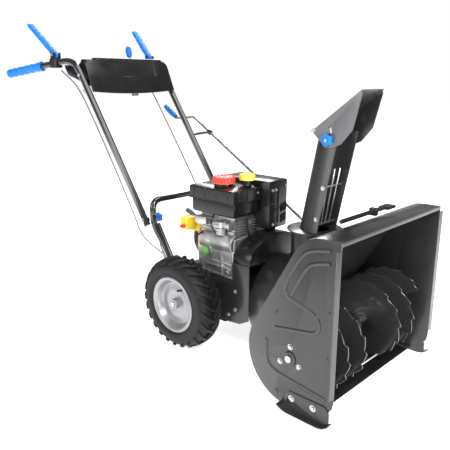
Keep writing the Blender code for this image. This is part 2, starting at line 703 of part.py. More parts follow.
def make_chute_guard(finish):
    """Rods across the front of the chute, welded to two cross bars."""
    zinc = finish["zinc"]
    reach = CHUTE_HALF - SHEET - GAP
    low = Vector((0, -0.4215, 0.480))
    high = Vector((0, -0.4400, 0.600))
    side = Vector((reach, 0, 0))
    guard = rod("chute_guard", high - side, high + side, 0.0032, zinc, 8)
    fuse(guard, rod("guard_low_bar", low - side, low + side, 0.0032, zinc, 8))
    for number, (foot, head) in enumerate(((-0.022, -0.030), (0.0, 0.0), (0.022, 0.030))):
        start = low + Vector((foot, 0, 0)) - (high - low) * 0.03
        end = low + Vector((head, 0, 0)) + (high - low) * 1.44
        fuse(guard, rod(f"guard_rod_{number}", start, end, 0.0028, zinc, 8))
    return guard


def make_deflector(finish):
    """The hinged hood over the chute's mouth: a top sheet and two side plates."""
    paint = finish["steel_paint"]
    inner = CHUTE_HALF + GAP
    outer = inner + 0.0025
    top = strip([(-0.396, 0.7665), (-0.410, 0.7745), (-0.560, 0.889)], 0.0025)
    sheet = prism("deflector", top, -outer, outer, "X", paint)
    side = [(-0.398, 0.769), (-0.410, 0.7760), (-0.559, 0.890), (-0.560, 0.875), (-0.536, 0.778),
            (-0.500, 0.735), (-0.470, 0.722), (-0.448, 0.722), (-0.428, 0.740)]
    for name, low, high in (("deflector_left", inner, outer), ("deflector_right", -outer, -inner)):
        fuse(sheet, prism(name, side, low, high, "X", paint))
    reach = sqrt((CLAMP[0] - HINGE[0]) ** 2 + (CLAMP[1] - HINGE[1]) ** 2)
    start = atan2(CLAMP[1] - HINGE[1], CLAMP[0] - HINGE[0])
    first, last = start - DEFLECTOR_DROP * 1.15, start + 0.09
    slot = arc(HINGE, reach + 0.0045, first, last, 8) + arc(HINGE, reach - 0.0045, last, first, 8)
    cut(sheet, prism("deflector_slot", slot, -0.08, 0.0, "X", paint))
    return sheet


def make_star_knob(name, place, side, finish, bolt):
    """A five-lobed knob on an X axis, with its screw pointing to the other side."""
    steps, lobes, radius = 30, 5, 0.0185
    outline = []
    for k in range(steps):
        angle = 2 * pi * k / steps
        reach = radius * (0.86 + 0.14 * cos(lobes * angle))
        outline.append((place[1] + reach * cos(angle), place[2] + reach * sin(angle)))
    low, high = sorted((place[0], place[0] + side * 0.016))
    knob = prism(name, outline, low, high, "X", finish["blue"])
    inward = Vector((-side, 0, 0))
    screw_head = place - inward * 0.004
    fuse(knob, rod(name + "_screw", screw_head, place + inward * bolt, 0.0035, finish["zinc"], 10))
    return knob


# ------------------------------------------------------------------ chute crank

def make_crank(finish):
    zinc = finish["zinc"]
    line = (CRANK_EYE - CRANK_FOOT).normalized()
    pinion = rod("chute_pinion", CRANK_FOOT - line * 0.010, CRANK_FOOT + line * 0.010, 0.0105, zinc, 10)
    fuse(pinion, rod("pinion_shaft", CRANK_FOOT + line * 0.009, CRANK_FOOT + line * SHAFT_STUB, ROD_RADIUS,
                     zinc, 10))
    elbow = CRANK_EYE + line * CRANK_ELBOW
    hand = elbow + CRANK_ARM * CRANK_THROW
    path = rounded([CRANK_FOOT + line * (SHAFT_STUB + GAP), elbow, hand, hand + line * CRANK_GRIP], 0.014, 3)
    bar = tube("crank_rod", path, ROD_RADIUS, zinc, 2)
    bore = ROD_RADIUS + GAP
    end = CRANK_GRIP + GAP
    profile = [(bore, 0.016), (0.008, 0.016), (0.0125, 0.060), (0.0125, 0.095), (0.008, end + 0.004),
               (0, end + 0.006), (0, end), (bore, end)]
    grip = turned("crank_grip", profile, hand, line, finish["blue"], 16, ring=True)
    return pinion, bar, grip


def make_crank_eye(finish):
    """The eye that carries the crank rod, on an arm from the left upright."""
    paint = finish["gloss_paint"]
    line = (CRANK_EYE - CRANK_FOOT).normalized()
    eye = pipe("crank_eye", CRANK_EYE - line * 0.006, CRANK_EYE + line * 0.006, ROD_RADIUS + GAP, 0.012,
               paint, 16)
    foot = upright_point(EYE_FOOT_Y)
    foot.x += TUBE_RADIUS + 0.0025
    across = (foot - CRANK_EYE).normalized()
    fuse(eye, rod("crank_eye_arm", CRANK_EYE + across * 0.0090, foot, 0.0050, paint, 10))
    return eye


# ------------------------------------------------------------------ handlebar

def upright_point(y):
    start = Vector((UPRIGHT_X, *FOLD))
    return start + (BEND - start) * ((y - start.y) / (BEND.y - start.y))


def bar_path(side):
    start = Vector((UPRIGHT_X, *FOLD))
    foot = start - (BEND - start).normalized() * 0.024
    corners = [foot, BEND, BAR_END - bar_line(1) * 0.004]
    return [mirrored(point, side) for point in rounded(corners, 0.055, 5)]


def bar_line(side):
    return mirrored((BAR_END - BEND).normalized(), side)


def make_grip(name, side, finish):
    start = mirrored(BAR_END, side) - bar_line(side) * 0.190
    bore = TUBE_RADIUS + GAP
    profile = [(bore, 0.0), (0.0180, 0.0), (0.0180, 0.012), (0.0168, 0.018), (0.0168, 0.182), (0.0130, 0.190),
               (0, 0.190), (0, 0.1863), (bore, 0.1863)]
    return turned(name, profile, start, bar_line(side), finish["blue"], 16, ring=True)


def lever_turn(side):
    """Turns a part drawn with Y along the lever, seen from above, to the lever's own heading."""
    return Matrix.Rotation(-side * LEVER_YAW, 4, "Z")


def make_lever_bracket(name, side, finish):
    """A clamp round the bar with two cheeks that hold the lever's pin."""
    plastic = finish["black_plastic"]
    line = bar_line(side)
    middle = mirrored(BEND, side) + line * ((LEVER_PIVOT.y - BEND.y) / line.y)
    clamp = box(name, (-0.019, -0.018, -0.018), (0.019, 0.018, 0.018), plastic)
    soften(clamp, 0.005)
    level = Matrix.Translation(middle) @ lever_turn(side)
    clamp.data.transform(level)
    pivot = mirrored(LEVER_PIVOT, side)
    across = lever_turn(side) @ Vector((1, 0, 0))
    for number, way in enumerate((-1, 1)):
        cheek = box(f"{name}_cheek_{number}", (-0.0025, -0.013, 0.010), (0.0025, 0.013, 0.040), plastic)
        cheek.data.transform(level @ Matrix.Translation((way * 0.0125, 0, 0)))
        fuse(clamp, cheek)
    bore = TUBE_RADIUS + GAP
    cut(clamp, rod(name + "_bore", middle - line * 0.04, middle + line * 0.04, bore, plastic, 18))
    cut(clamp, rod(name + "_pin_bore", pivot - across * 0.03, pivot + across * 0.03, 0.0032, plastic, 12))
    return clamp


def make_lever(name, side, finish):
    """A blue blade rising from its pivot, with the pin that it turns on."""
    pivot = mirrored(LEVER_PIVOT, side)
    place = Matrix.Translation(pivot) @ lever_turn(side) @ Matrix.Rotation(LEVER_RISE, 4, "X")
    end = LEVER_LENGTH
    outline = [(-0.012, -0.006), (-0.006, -0.0105), (0.016, -0.0095), (0.030, -0.0075),
               (end - 0.008, -0.0065), (end, 0.0), (end - 0.008, 0.0065), (0.030, 0.0085),
               (0.010, 0.010), (-0.008, 0.008)]
    blade = prism(name, outline, -0.0095, 0.0095, "X", finish["blue"])
    paddle = [(0.044, -0.0060), (end - 0.010, -0.0052), (end - 0.003, 0.0), (end - 0.010, 0.0052),
              (0.044, 0.0068)]
    wide = prism(name + "_paddle", paddle, -0.0130, 0.0130, "X", finish["blue"])
    for piece in (blade, wide):
        piece.data.transform(place)
    reach = lever_turn(side) @ Vector((0.019, 0, 0))
    pin = rod(name + "_pin", pivot - reach, pivot + reach, 0.0029, finish["zinc"], 12)
    fuse(blade, wide, pin)
    return blade


def make_panel(finish):
    """The dashboard between the uprights: a front wall, a top lip and a tray behind it."""
    plastic = finish["black_plastic"]
    half = UPRIGHT_X - TUBE_RADIUS - 0.0012
    front = strip([(0.600, 0.990), (0.566, 0.988), (0.513, 0.868), (0.524, 0.872)], 0.004)
    panel = prism("control_panel", front, -half, half, "X", plastic)
    tray = strip([(0.724, 0.968), (0.700, 0.933), (0.524, 0.886)], -0.004)
    fuse(panel, prism("panel_tray", tray, -half, half, "X", plastic))
    end = [(0.524, 0.883), (0.701, 0.931), (0.722, 0.962), (0.610, 0.975), (0.598, 0.989), (0.568, 0.987)]
    for name, low, high in (("panel_left_end", half - 0.004, half), ("panel_right_end", -half, 0.004 - half)):
        fuse(panel, prism(name, end, low, high, "X", plastic))
    cut(panel, box("shift_slot", (0.082, 0.590, 0.880), (0.100, 0.695, 0.960), plastic))
    return panel


def make_shift_lever(finish):
    """A rod through the tray's slot, with a blue paddle on it."""
    line = (SHIFT_TIP - SHIFT_PIVOT).normalized()
    lever = rod("shift_lever", SHIFT_PIVOT, SHIFT_TIP, 0.0045, finish["zinc"], 10)
    profile = [(0, 0), (0.009, 0), (0.013, 0.016), (0.013, 0.034), (0.008, 0.044), (0, 0.045)]
    paddle = turned("shift_knob", profile, SHIFT_TIP - line * 0.012, line, finish["blue"], 14)
    side = Vector((0.010, 0, 0))
    boss = rod("shift_boss", SHIFT_PIVOT - side, SHIFT_PIVOT + side, 0.009, finish["zinc"], 12)
    fuse(lever, paddle, boss)
    return lever


def make_lower_frame(finish):
    """An inverted U of tube, bolted to the chassis sides."""
    half = [Vector((0.1640, 0.098, 0.222)), Vector((0.1640, 0.150, 0.306)), Vector((LEG_X, 0.205, 0.396)),
            Vector((LEG_X, 0.205, 0.486))]
    path = rounded([mirrored(p, -1) for p in half] + half[::-1], 0.034, 3)
    frame = tube_mesh("lower_handle_frame", path, TUBE_RADIUS, finish["gloss_paint"], 2)
    for side in (-1, 1):
        start = Vector((side * (CHASSIS_HALF + GAP), 0.1065, 0.236))
        fuse(frame, rod("frame_stud", start, start + Vector((side * 0.02, 0, 0)), 0.007,
                        finish["gloss_paint"], 10))
    return frame


def make_clean_out_tool(finish):
    """The stick for clearing the chute, lying along the housing's top in its clip."""
    plastic = finish["black_plastic"]
    y, z = -0.572, PLATE_TOP + 0.0125
    stick = rod("clean_out_tool", (-0.150, y, z), (0.100, y, z), 0.0065, plastic, 10)
    fuse(stick, box("tool_blade", (0.085, y - 0.016, z - 0.004), (0.135, y + 0.016, z + 0.004), plastic))
    fuse(stick, box("tool_clip", (0.020, y - 0.011, PLATE_TOP + GAP), (0.036, y + 0.011, z + 0.010), plastic))
    return stick


def make_cable(name, points, finish):
    return tube(name, smooth_path(points, 4), 0.0025, finish["rubber"], 2)


# ------------------------------------------------------------------ the whole machine

def build_frame(finish):
    for name, side in (("left", 1), ("right", -1)):
        make_side_plate(f"side_plate_{name}", side, finish)
        make_skid_shoe(f"skid_shoe_{name}", side, finish)
    make_housing_shell(finish)
    make_scraper_bar(finish)
    make_impeller_drum(finish)
    make_gearcase(finish)
    make_chassis(finish)
    make_bottom_cover(finish)
    make_belt_cover(finish)
    make_belt(finish)
    make_engine(finish)
    make_lower_frame(finish)
    make_clean_out_tool(finish)


def build_turning_parts(finish):
    shaft = rod("auger_shaft", (-0.300, *AUGER_AXIS), (0.300, *AUGER_AXIS), SHAFT_RADIUS, finish["zinc"], 16)
    hang(joint_point("auger_axis", (0, *AUGER_AXIS)), shaft, make_flight("auger_flight_left", 1, finish),
         make_flight("auger_flight_right", -1, finish))
    hang(joint_point("impeller_axis", (0, DRUM_REAR, FAN_Z)), *make_impeller(finish))
    pulley = pulley_wheel("engine_pulley", CRANK_Z, ENGINE_GROOVE, 0, finish)
    crank_end = (0, -0.1005, CRANK_Z)
    fuse(pulley, rod("crankshaft_end", (0, BELT_Y, CRANK_Z), crank_end, 0.012, finish["zinc"], 16))
    hang(joint_point("engine_axis", (0, BELT_Y, CRANK_Z)), pulley)
    wheels = joint_point("wheel_axis", (0, 0, WHEEL_RADIUS))
    axle_gear, friction_wheel = make_drive(finish)
    hang(wheels, make_axle(finish), axle_gear)
    for name, side in (("left", 1), ("right", -1)):
        hang(wheels, make_rim(f"rim_{name}", side, finish), make_tyre(f"tyre_{name}", side, finish))
    hang(joint_point("friction_axis", (0, *FRICTION_SHAFT)), friction_wheel)


def build_chute(finish):
    chute_axis = joint_point("chute_axis", (0, CHUTE_Y, NECK_TOP))
    hang(chute_axis, make_chute(finish), make_chute_guard(finish))
    hang(joint_point("deflector_axis", (0, *HINGE), chute_axis), make_deflector(finish))
    place = Vector((-(CHUTE_HALF + 0.0035), *CLAMP))
    knob = make_star_knob("deflector_knob", place, -1, finish, 0.0031)
    hang(joint_point("deflector_knob_axis", place, chute_axis), knob)


def build_handlebar(finish):
    fold = joint_point("fold_axis", (0, *FOLD))
    for name, side in (("left", 1), ("right", -1)):
        bar = tube(f"handlebar_{name}", bar_path(side), TUBE_RADIUS, finish["gloss_paint"], 2)
        hang(fold, bar, make_grip(f"grip_{name}", side, finish),
             make_lever_bracket(f"lever_bracket_{name}", side, finish))
        role = "drive" if side > 0 else "auger"
        lever_axis = joint_point(f"lever_axis_{name}", mirrored(LEVER_PIVOT, side), fold)
        hang(lever_axis, make_lever(f"{role}_clutch_lever", side, finish))
        place = Vector((side * KNOB_X, *FOLD))
        hang(joint_point(f"fold_knob_axis_{name}", place),
             make_star_knob(f"fold_knob_{name}", place, -side, finish, 0.0170))
    hang(fold, make_panel(finish), make_crank_eye(finish))
    hang(joint_point("shift_axis", SHIFT_PIVOT, fold), make_shift_lever(finish))
    pinion, crank_rod, crank_grip = make_crank(finish)
    hang(joint_point("pinion_axis", CRANK_FOOT), pinion)
    hang(joint_point("crank_axis", CRANK_EYE, fold), crank_rod, crank_grip)
    right = [(-0.228, 0.690, 0.948), (-0.221, 0.600, 0.890), (-0.2225, 0.510, 0.790),
             (-0.2235, 0.360, 0.580), (-0.2225, 0.262, 0.428), (-0.200, 0.245, 0.350),
             (-0.160, 0.185, 0.285), (-0.110, 0.112, 0.235)]
    left = [(0.222, 0.690, 0.948), (0.180, 0.640, 0.880), (0.150, 0.560, 0.820), (0.140, 0.460, 0.700),
            (0.135, 0.340, 0.540), (0.130, 0.230, 0.390), (0.120, 0.150, 0.290), (0.110, 0.112, 0.235)]
    hang(fold, make_cable("cable_right", right, finish), make_cable("cable_left", left, finish))


def build_controls(finish):
    filler, dipstick, key, grip = make_small_controls(finish)
    hang(joint_point("fuel_cap_axis", TANK_CAP), make_fuel_cap(finish))
    hang(joint_point("filler_axis", FILLER), filler)
    hang(joint_point("dipstick_axis", DIPSTICK), dipstick)
    hang(joint_point("key_axis", KEY), key)
    hang(joint_point("starter_axis", STARTER_PORT), grip)


def build():
    empty_scene()
    finish = make_finishes()
    build_frame(finish)
    build_turning_parts(finish)
    build_chute(finish)
    build_handlebar(finish)
    build_controls(finish)
    for thing in bpy.data.objects:
        if thing.parent is None:
            thing.location.y -= Y_CENTRE


build()
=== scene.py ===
# %% [markdown]
# # A walk-behind snow blower
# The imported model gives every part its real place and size.  This notebook gives those parts
# their finishes, and models again the ones whose surface needs more than a plain solid.

# %% Load the frame
import json
from math import cos, degrees, pi, radians, sin

import bpy
from mathutils import Matrix, Vector


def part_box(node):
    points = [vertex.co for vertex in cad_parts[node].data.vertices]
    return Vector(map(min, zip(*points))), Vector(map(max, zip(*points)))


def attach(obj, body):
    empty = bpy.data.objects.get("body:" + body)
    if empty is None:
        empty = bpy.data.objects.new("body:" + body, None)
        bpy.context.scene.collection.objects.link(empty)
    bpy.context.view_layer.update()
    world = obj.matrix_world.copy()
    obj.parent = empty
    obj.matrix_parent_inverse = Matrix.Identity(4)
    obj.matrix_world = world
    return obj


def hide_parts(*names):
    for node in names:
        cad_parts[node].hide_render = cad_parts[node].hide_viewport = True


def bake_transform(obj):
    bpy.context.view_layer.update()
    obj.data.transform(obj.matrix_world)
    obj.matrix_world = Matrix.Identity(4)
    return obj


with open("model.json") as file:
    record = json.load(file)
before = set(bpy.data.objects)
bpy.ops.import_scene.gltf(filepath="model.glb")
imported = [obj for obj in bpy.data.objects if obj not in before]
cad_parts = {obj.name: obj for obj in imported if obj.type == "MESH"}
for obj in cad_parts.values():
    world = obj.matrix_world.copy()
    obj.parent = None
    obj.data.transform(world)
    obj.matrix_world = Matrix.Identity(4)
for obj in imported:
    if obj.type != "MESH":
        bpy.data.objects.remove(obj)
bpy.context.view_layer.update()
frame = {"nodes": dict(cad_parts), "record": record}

Y_AXLE = -0.1497                # the wheel axle, in the frame's own coordinates
print("parts in the frame:", len(frame["nodes"]))


# %% [markdown]
# ## Camera, floor and light
# The camera stands at the front right, a little above the machine, with a lens a little longer
# than normal.  A longer one would flatten the machine, and a wider one would swell the housing.

# %% Camera
camera = bpy.data.objects.new("camera", bpy.data.cameras.new("camera"))
bpy.context.scene.collection.objects.link(camera)
camera.location = (-1.456, -1.5227, 0.919)
camera.rotation_euler = (radians(75.2), 0, radians(-46.2))
camera.data.lens = 44.95
camera.data.shift_x = 0.0056
camera.data.shift_y = 0.0033
bpy.context.scene.camera = camera
print("camera at", tuple(camera.location))

# %% [markdown]
# ## Lights
# Dark paint is seen by what it reflects.  One bright sky would light it evenly and hide its shape, so
# five area lights are used.  Each draws a crisp highlight that tells the eye a tube is round and
# glossy, and the low one in front reaches into the mouth.

# %% Five area lights
def soft_light(name, place, aim_at, size, watts):
    lamp = bpy.data.lights.new(name, "AREA")
    lamp.size = size
    lamp.energy = watts
    made = bpy.data.objects.new(name, lamp)
    made.location = place
    made.rotation_euler = (Vector(aim_at) - Vector(place)).to_track_quat("-Z", "Y").to_euler()
    bpy.context.scene.collection.objects.link(made)


soft_light("key_light", (-1.6, -2.4, 2.6), (0, -0.2, 0.4), 1.2, 95)
soft_light("fill_light", (-3.0, 0.4, 1.6), (0, 0, 0.4), 1.4, 34)
soft_light("rim_light", (1.8, 1.6, 2.4), (0, 0, 0.5), 1.2, 60)
soft_light("top_light", (0.1, -0.6, 3.0), (0, -0.3, 0), 1.8, 42)
soft_light("mouth_light", (-0.4, -2.9, 0.55), (0, -0.7, 0.2), 0.6, 70)
print("lights:", len(bpy.data.lights))

# %% [markdown]
# ## White floor
# The machine stands on a white sheet.  A white colour alone would show a grey horizon, so the sheet
# also glows a little, and less than the backdrop, which keeps the soft shadow under the tyres.

# %% Floor
FLOOR_LEVEL = -0.0012           # a little under the tyres, so the two don't flicker
FLOOR_GLOW = 0.80
bpy.ops.object.select_all(action="DESELECT")
bpy.ops.mesh.primitive_plane_add(size=40, location=(0, 0, FLOOR_LEVEL))
floor = bpy.context.object
floor.name = "floor"
white = bpy.data.materials.new("floor_white")
white.use_nodes = True
sheet = white.node_tree.nodes["Principled BSDF"]
sheet.label = "white floor that glows a little"
sheet.inputs["Base Color"].default_value = (0.95, 0.95, 0.95, 1)
sheet.inputs["Roughness"].default_value = 0.9
sheet.inputs["Emission Color"].default_value = (1, 1, 1, 1)
sheet.inputs["Emission Strength"].default_value = FLOOR_GLOW
floor.data.materials.append(white)
print("the floor lies at", FLOOR_LEVEL)

# %% [markdown]
# ## White backdrop, dim room
# If the whole room were as white as the backdrop, gloss paint would mirror it and turn grey.  The
# Light Path node tells the two apart: the world is white where it is seen directly, and dim where
# it lights the machine or is mirrored in it.

# %% Backdrop and room light
ROOM_LIGHT, BACKDROP_LIGHT = 0.30, 1.0
world = bpy.data.worlds.new("studio")
world.use_nodes = True
sky = world.node_tree.nodes["Background"]
sky.label = "white backdrop, dim room"
seen = world.node_tree.nodes.new("ShaderNodeLightPath")
seen.label = "backdrop or room light"
strength = world.node_tree.nodes.new("ShaderNodeMapRange")
strength.label = "strength"
strength.inputs["To Min"].default_value = ROOM_LIGHT
strength.inputs["To Max"].default_value = BACKDROP_LIGHT
sky.inputs["Color"].default_value = (1, 1, 1, 1)
world.node_tree.links.new(seen.outputs["Is Camera Ray"], strength.inputs["Value"])
world.node_tree.links.new(strength.outputs["Result"], sky.inputs["Strength"])
seen.location, strength.location = (-600, 300), (-300, 300)
bpy.context.scene.world = world
bpy.context.scene.view_settings.view_transform = "Standard"
print("the room is lit at", ROOM_LIGHT, "and the backdrop at", BACKDROP_LIGHT)


# %% [markdown]
# ## Finishes
# Each finish is a small node graph: a broad noise that tints the colour and varies the gloss, and
# a fine one that raises the surface.  They read Object coordinates, so they stay
# put on the part.

# %% Painted steel
def place_nodes(columns):
    for column, nodes in enumerate(columns):
        for row, node in enumerate(nodes):
            node.location = (column * 240 - 900, 300 - row * 260)


def frame_nodes(tree, label, nodes):
    group = tree.nodes.new("NodeFrame")
    group.label = label
    for node in nodes:
        node.parent = group


def painted_steel(name, colour, worn, roughness, peel, coat=0.0, metallic=0.0):
    """Paint: a cloudy tint, gloss that varies a little, and the fine ripple of a sprayed coat."""
    finish = bpy.data.materials.new(name)
    finish.use_nodes = True
    tree = finish.node_tree
    paint = tree.nodes["Principled BSDF"]
    paint.label = "paint"
    paint.inputs["Metallic"].default_value = metallic
    paint.inputs["Coat Weight"].default_value = coat
    paint.inputs["Coat Roughness"].default_value = 0.12
    spot = tree.nodes.new("ShaderNodeTexCoord")
    spot.label = "place on the part"
    cloud = tree.nodes.new("ShaderNodeTexNoise")
    cloud.label = "broad handling marks"
    cloud.inputs["Scale"].default_value = 9
    cloud.inputs["Detail"].default_value = 5
    tint = tree.nodes.new("ShaderNodeMix")
    tint.label = "paint to worn paint"
    tint.data_type = "RGBA"
    tint.inputs["A"].default_value = (*colour, 1)
    tint.inputs["B"].default_value = (*worn, 1)
    gloss = tree.nodes.new("ShaderNodeMapRange")
    gloss.label = "gloss varies"
    gloss.inputs["To Min"].default_value = roughness * 0.82
    gloss.inputs["To Max"].default_value = roughness * 1.22
    ripple = tree.nodes.new("ShaderNodeTexNoise")
    ripple.label = "ripple of the sprayed coat"
    ripple.inputs["Scale"].default_value = 420
    ripple.inputs["Detail"].default_value = 2
    raised = tree.nodes.new("ShaderNodeBump")
    raised.label = "ripple raised"
    raised.inputs["Strength"].default_value = peel
    raised.inputs["Distance"].default_value = 0.0004
    place_nodes([[spot], [cloud, ripple], [tint, gloss, raised], [paint]])
    frame_nodes(tree, "colour and gloss", [cloud, tint, gloss])
    frame_nodes(tree, "surface", [ripple, raised])
    tree.links.new(spot.outputs["Object"], cloud.inputs["Vector"])
    tree.links.new(spot.outputs["Object"], ripple.inputs["Vector"])
    tree.links.new(cloud.outputs["Fac"], tint.inputs["Factor"])
    tree.links.new(cloud.outputs["Fac"], gloss.inputs["Value"])
    tree.links.new(tint.outputs["Result"], paint.inputs["Base Color"])
    tree.links.new(gloss.outputs["Result"], paint.inputs["Roughness"])
    tree.links.new(ripple.outputs["Fac"], raised.inputs["Height"])
    tree.links.new(raised.outputs["Normal"], paint.inputs["Normal"])
    return finish


print("paint can be mixed")

# %% [markdown]
# ## Bare metal
# Bolts are zinc plated and the crankcase is a sand casting.  Both are one clear metal that stains,
# and they differ only in how coarse the grain is, so one graph with a grain size does for both.  A
# colour ramp gives the stains a harder edge than paint has.

# %% Zinc plate and casting
def bare_metal(name, colour, stain, roughness, grain, height):
    """Zinc plate or a sand casting: a stained metal with a grain as coarse as asked."""
    finish = bpy.data.materials.new(name)
    finish.use_nodes = True
    tree = finish.node_tree
    metal = tree.nodes["Principled BSDF"]
    metal.label = "metal"
    metal.inputs["Metallic"].default_value = 0.92
    spot = tree.nodes.new("ShaderNodeTexCoord")
    spot.label = "place on the part"
    stains = tree.nodes.new("ShaderNodeTexNoise")
    stains.label = "stains"
    stains.inputs["Scale"].default_value = 28
    stains.inputs["Detail"].default_value = 6
    contrast = tree.nodes.new("ShaderNodeValToRGB")
    contrast.label = "clean metal to stained"
    contrast.color_ramp.elements[0].position = 0.35
    contrast.color_ramp.elements[0].color = (*stain, 1)
    contrast.color_ramp.elements[1].position = 0.62
    contrast.color_ramp.elements[1].color = (*colour, 1)
    gloss = tree.nodes.new("ShaderNodeMapRange")
    gloss.label = "stains are dull"
    gloss.inputs["To Min"].default_value = roughness * 1.4
    gloss.inputs["To Max"].default_value = roughness * 0.7
    sand = tree.nodes.new("ShaderNodeTexNoise")
    sand.label = "grain of the casting"
    sand.inputs["Scale"].default_value = grain
    sand.inputs["Detail"].default_value = 4
    raised = tree.nodes.new("ShaderNodeBump")
    raised.label = "grain raised"
    raised.inputs["Strength"].default_value = height
    raised.inputs["Distance"].default_value = 0.0006
    place_nodes([[spot], [stains, sand], [contrast, gloss, raised], [metal]])
    frame_nodes(tree, "colour and gloss", [stains, contrast, gloss])
    frame_nodes(tree, "surface", [sand, raised])
    tree.links.new(spot.outputs["Object"], stains.inputs["Vector"])
    tree.links.new(spot.outputs["Object"], sand.inputs["Vector"])
    tree.links.new(stains.outputs["Fac"], contrast.inputs["Fac"])
    tree.links.new(stains.outputs["Fac"], gloss.inputs["Value"])
    tree.links.new(contrast.outputs["Color"], metal.inputs["Base Color"])
    tree.links.new(gloss.outputs["Result"], metal.inputs["Roughness"])
    tree.links.new(sand.outputs["Fac"], raised.inputs["Height"])
    tree.links.new(raised.outputs["Normal"], metal.inputs["Normal"])
    return finish


print("bare metal can be mixed")


# %% [markdown]
# ## Plastic and rubber
# Tank, shroud, grips and tyres come out of moulds.  The mould leaves a fine cell grain and dust
# settles in patches.  An image could hold both, but a Voronoi texture and a noise need no file,
# keep their scale on every part, and differ from part to part.

# %% Moulded plastic and rubber
def moulded(name, colour, dusty, roughness, grain, height, shine=0.5):
    """Plastic or rubber from a grained mould: cells raised a little, dust in broad patches."""
    finish = bpy.data.materials.new(name)
    finish.use_nodes = True
    tree = finish.node_tree
    plastic = tree.nodes["Principled BSDF"]
    plastic.label = "plastic"
    plastic.inputs["Specular IOR Level"].default_value = shine
    spot = tree.nodes.new("ShaderNodeTexCoord")
    spot.label = "place on the part"
    dust = tree.nodes.new("ShaderNodeTexNoise")
    dust.label = "dust and handling"
    dust.inputs["Scale"].default_value = 16
    dust.inputs["Detail"].default_value = 6
    spread = tree.nodes.new("ShaderNodeMapRange")
    spread.label = "dust only in patches"
    spread.inputs["From Min"].default_value = 0.45
    spread.inputs["From Max"].default_value = 0.75
    tint = tree.nodes.new("ShaderNodeMix")
    tint.label = "clean to dusty"
    tint.data_type = "RGBA"
    tint.inputs["A"].default_value = (*colour, 1)
    tint.inputs["B"].default_value = (*dusty, 1)
    gloss = tree.nodes.new("ShaderNodeMapRange")
    gloss.label = "gloss varies"
    gloss.inputs["To Min"].default_value = roughness * 0.85
    gloss.inputs["To Max"].default_value = roughness * 1.2
    cells = tree.nodes.new("ShaderNodeTexVoronoi")
    cells.label = "grain of the mould"
    cells.inputs["Scale"].default_value = grain
    raised = tree.nodes.new("ShaderNodeBump")
    raised.label = "grain raised"
    raised.inputs["Strength"].default_value = height
    raised.inputs["Distance"].default_value = 0.0004
    place_nodes([[spot], [dust, cells], [spread, gloss, raised], [tint], [plastic]])
    frame_nodes(tree, "colour and gloss", [dust, spread, tint, gloss])
    frame_nodes(tree, "surface", [cells, raised])
    tree.links.new(spot.outputs["Object"], dust.inputs["Vector"])
    tree.links.new(spot.outputs["Object"], cells.inputs["Vector"])
    tree.links.new(dust.outputs["Fac"], spread.inputs["Value"])
    tree.links.new(spread.outputs["Result"], tint.inputs["Factor"])
    tree.links.new(tint.outputs["Result"], plastic.inputs["Base Color"])
    tree.links.new(dust.outputs["Fac"], gloss.inputs["Value"])
    tree.links.new(gloss.outputs["Result"], plastic.inputs["Roughness"])
    tree.links.new(cells.outputs["Distance"], raised.inputs["Height"])
    tree.links.new(raised.outputs["Normal"], plastic.inputs["Normal"])
    return finish


print("plastic and rubber can be mixed")


# %% [markdown]
# ## The list of finishes
# Each call mixes one finish: its colour, the colour that handling turns it to, how rough it is, and
# how deep its grain.  Blacks differ most by gloss: satin on plates, gloss on tubes, dull on rubber.

# %% One finish for each material on the machine
grey_paint = painted_steel("grey_paint", (0.011, 0.011, 0.012), (0.018, 0.018, 0.019), 0.32, 0.10, 0.25)
# a little lighter copy of the grey paint: painted light for the chute's lit side wall, laid on the whole
# chute
chute_grey_painted_light = painted_steel("chute_grey_painted_light", (0.014, 0.014, 0.015), (0.022, 0.022, 0.023), 0.36, 0.10, 0.2)
# a far lighter copy of the grey paint: painted light for the deflector's outer sheets, where the key light
# falls
deflector_grey_painted_light = painted_steel("deflector_grey_painted_light", (0.074, 0.074, 0.077), (0.098, 0.098, 0.102), 0.38,
                               0.10, 0.2)
auger_paint = painted_steel("auger_paint", (0.017, 0.017, 0.018), (0.028, 0.028, 0.030), 0.20, 0.03, 0.8)
shadow_paint = painted_steel("shadow_paint", (0.009, 0.009, 0.010), (0.014, 0.014, 0.015), 0.30, 0.06, 0.35)
black_gloss = painted_steel("black_gloss", (0.006, 0.006, 0.007), (0.010, 0.010, 0.011), 0.14, 0.02, 0.8)
silver_paint = painted_steel("silver_paint", (0.30, 0.305, 0.315), (0.25, 0.255, 0.265), 0.36, 0.12,
                             0.2, 0.55)
zinc_plate = bare_metal("zinc_plate", (0.58, 0.58, 0.56), (0.38, 0.38, 0.36), 0.28, 300, 0.06)
cast_metal = bare_metal("cast_metal", (0.62, 0.62, 0.62), (0.34, 0.34, 0.34), 0.42, 260, 0.35)
dark_steel = bare_metal("dark_steel", (0.20, 0.20, 0.20), (0.10, 0.10, 0.10), 0.40, 240, 0.2)
black_plastic = moulded("black_plastic", (0.007, 0.007, 0.008), (0.014, 0.014, 0.015), 0.42, 900, 0.12, 0.35)
shiny_plastic = moulded("shiny_plastic", (0.006, 0.006, 0.007), (0.010, 0.010, 0.011), 0.24, 900, 0.04, 0.4)
blue_plastic = moulded("blue_plastic", (0.003, 0.15, 0.70), (0.006, 0.18, 0.72), 0.50, 900, 0.04, 0.25)
soft_blue = moulded("soft_blue", (0.006, 0.15, 0.56), (0.014, 0.18, 0.60), 0.52, 700, 0.16, 0.3)
red_plastic = moulded("red_plastic", (0.66, 0.022, 0.016), (0.72, 0.05, 0.03), 0.32, 900, 0.05)
yellow_plastic = moulded("yellow_plastic", (0.86, 0.56, 0.03), (0.88, 0.62, 0.08), 0.34, 900, 0.05)
green_plastic = moulded("green_plastic", (0.10, 0.30, 0.05), (0.16, 0.36, 0.08), 0.40, 900, 0.05)
tyre_rubber = moulded("tyre_rubber", (0.005, 0.005, 0.0055), (0.012, 0.0118, 0.0115), 0.58, 600, 0.30, 0.30)
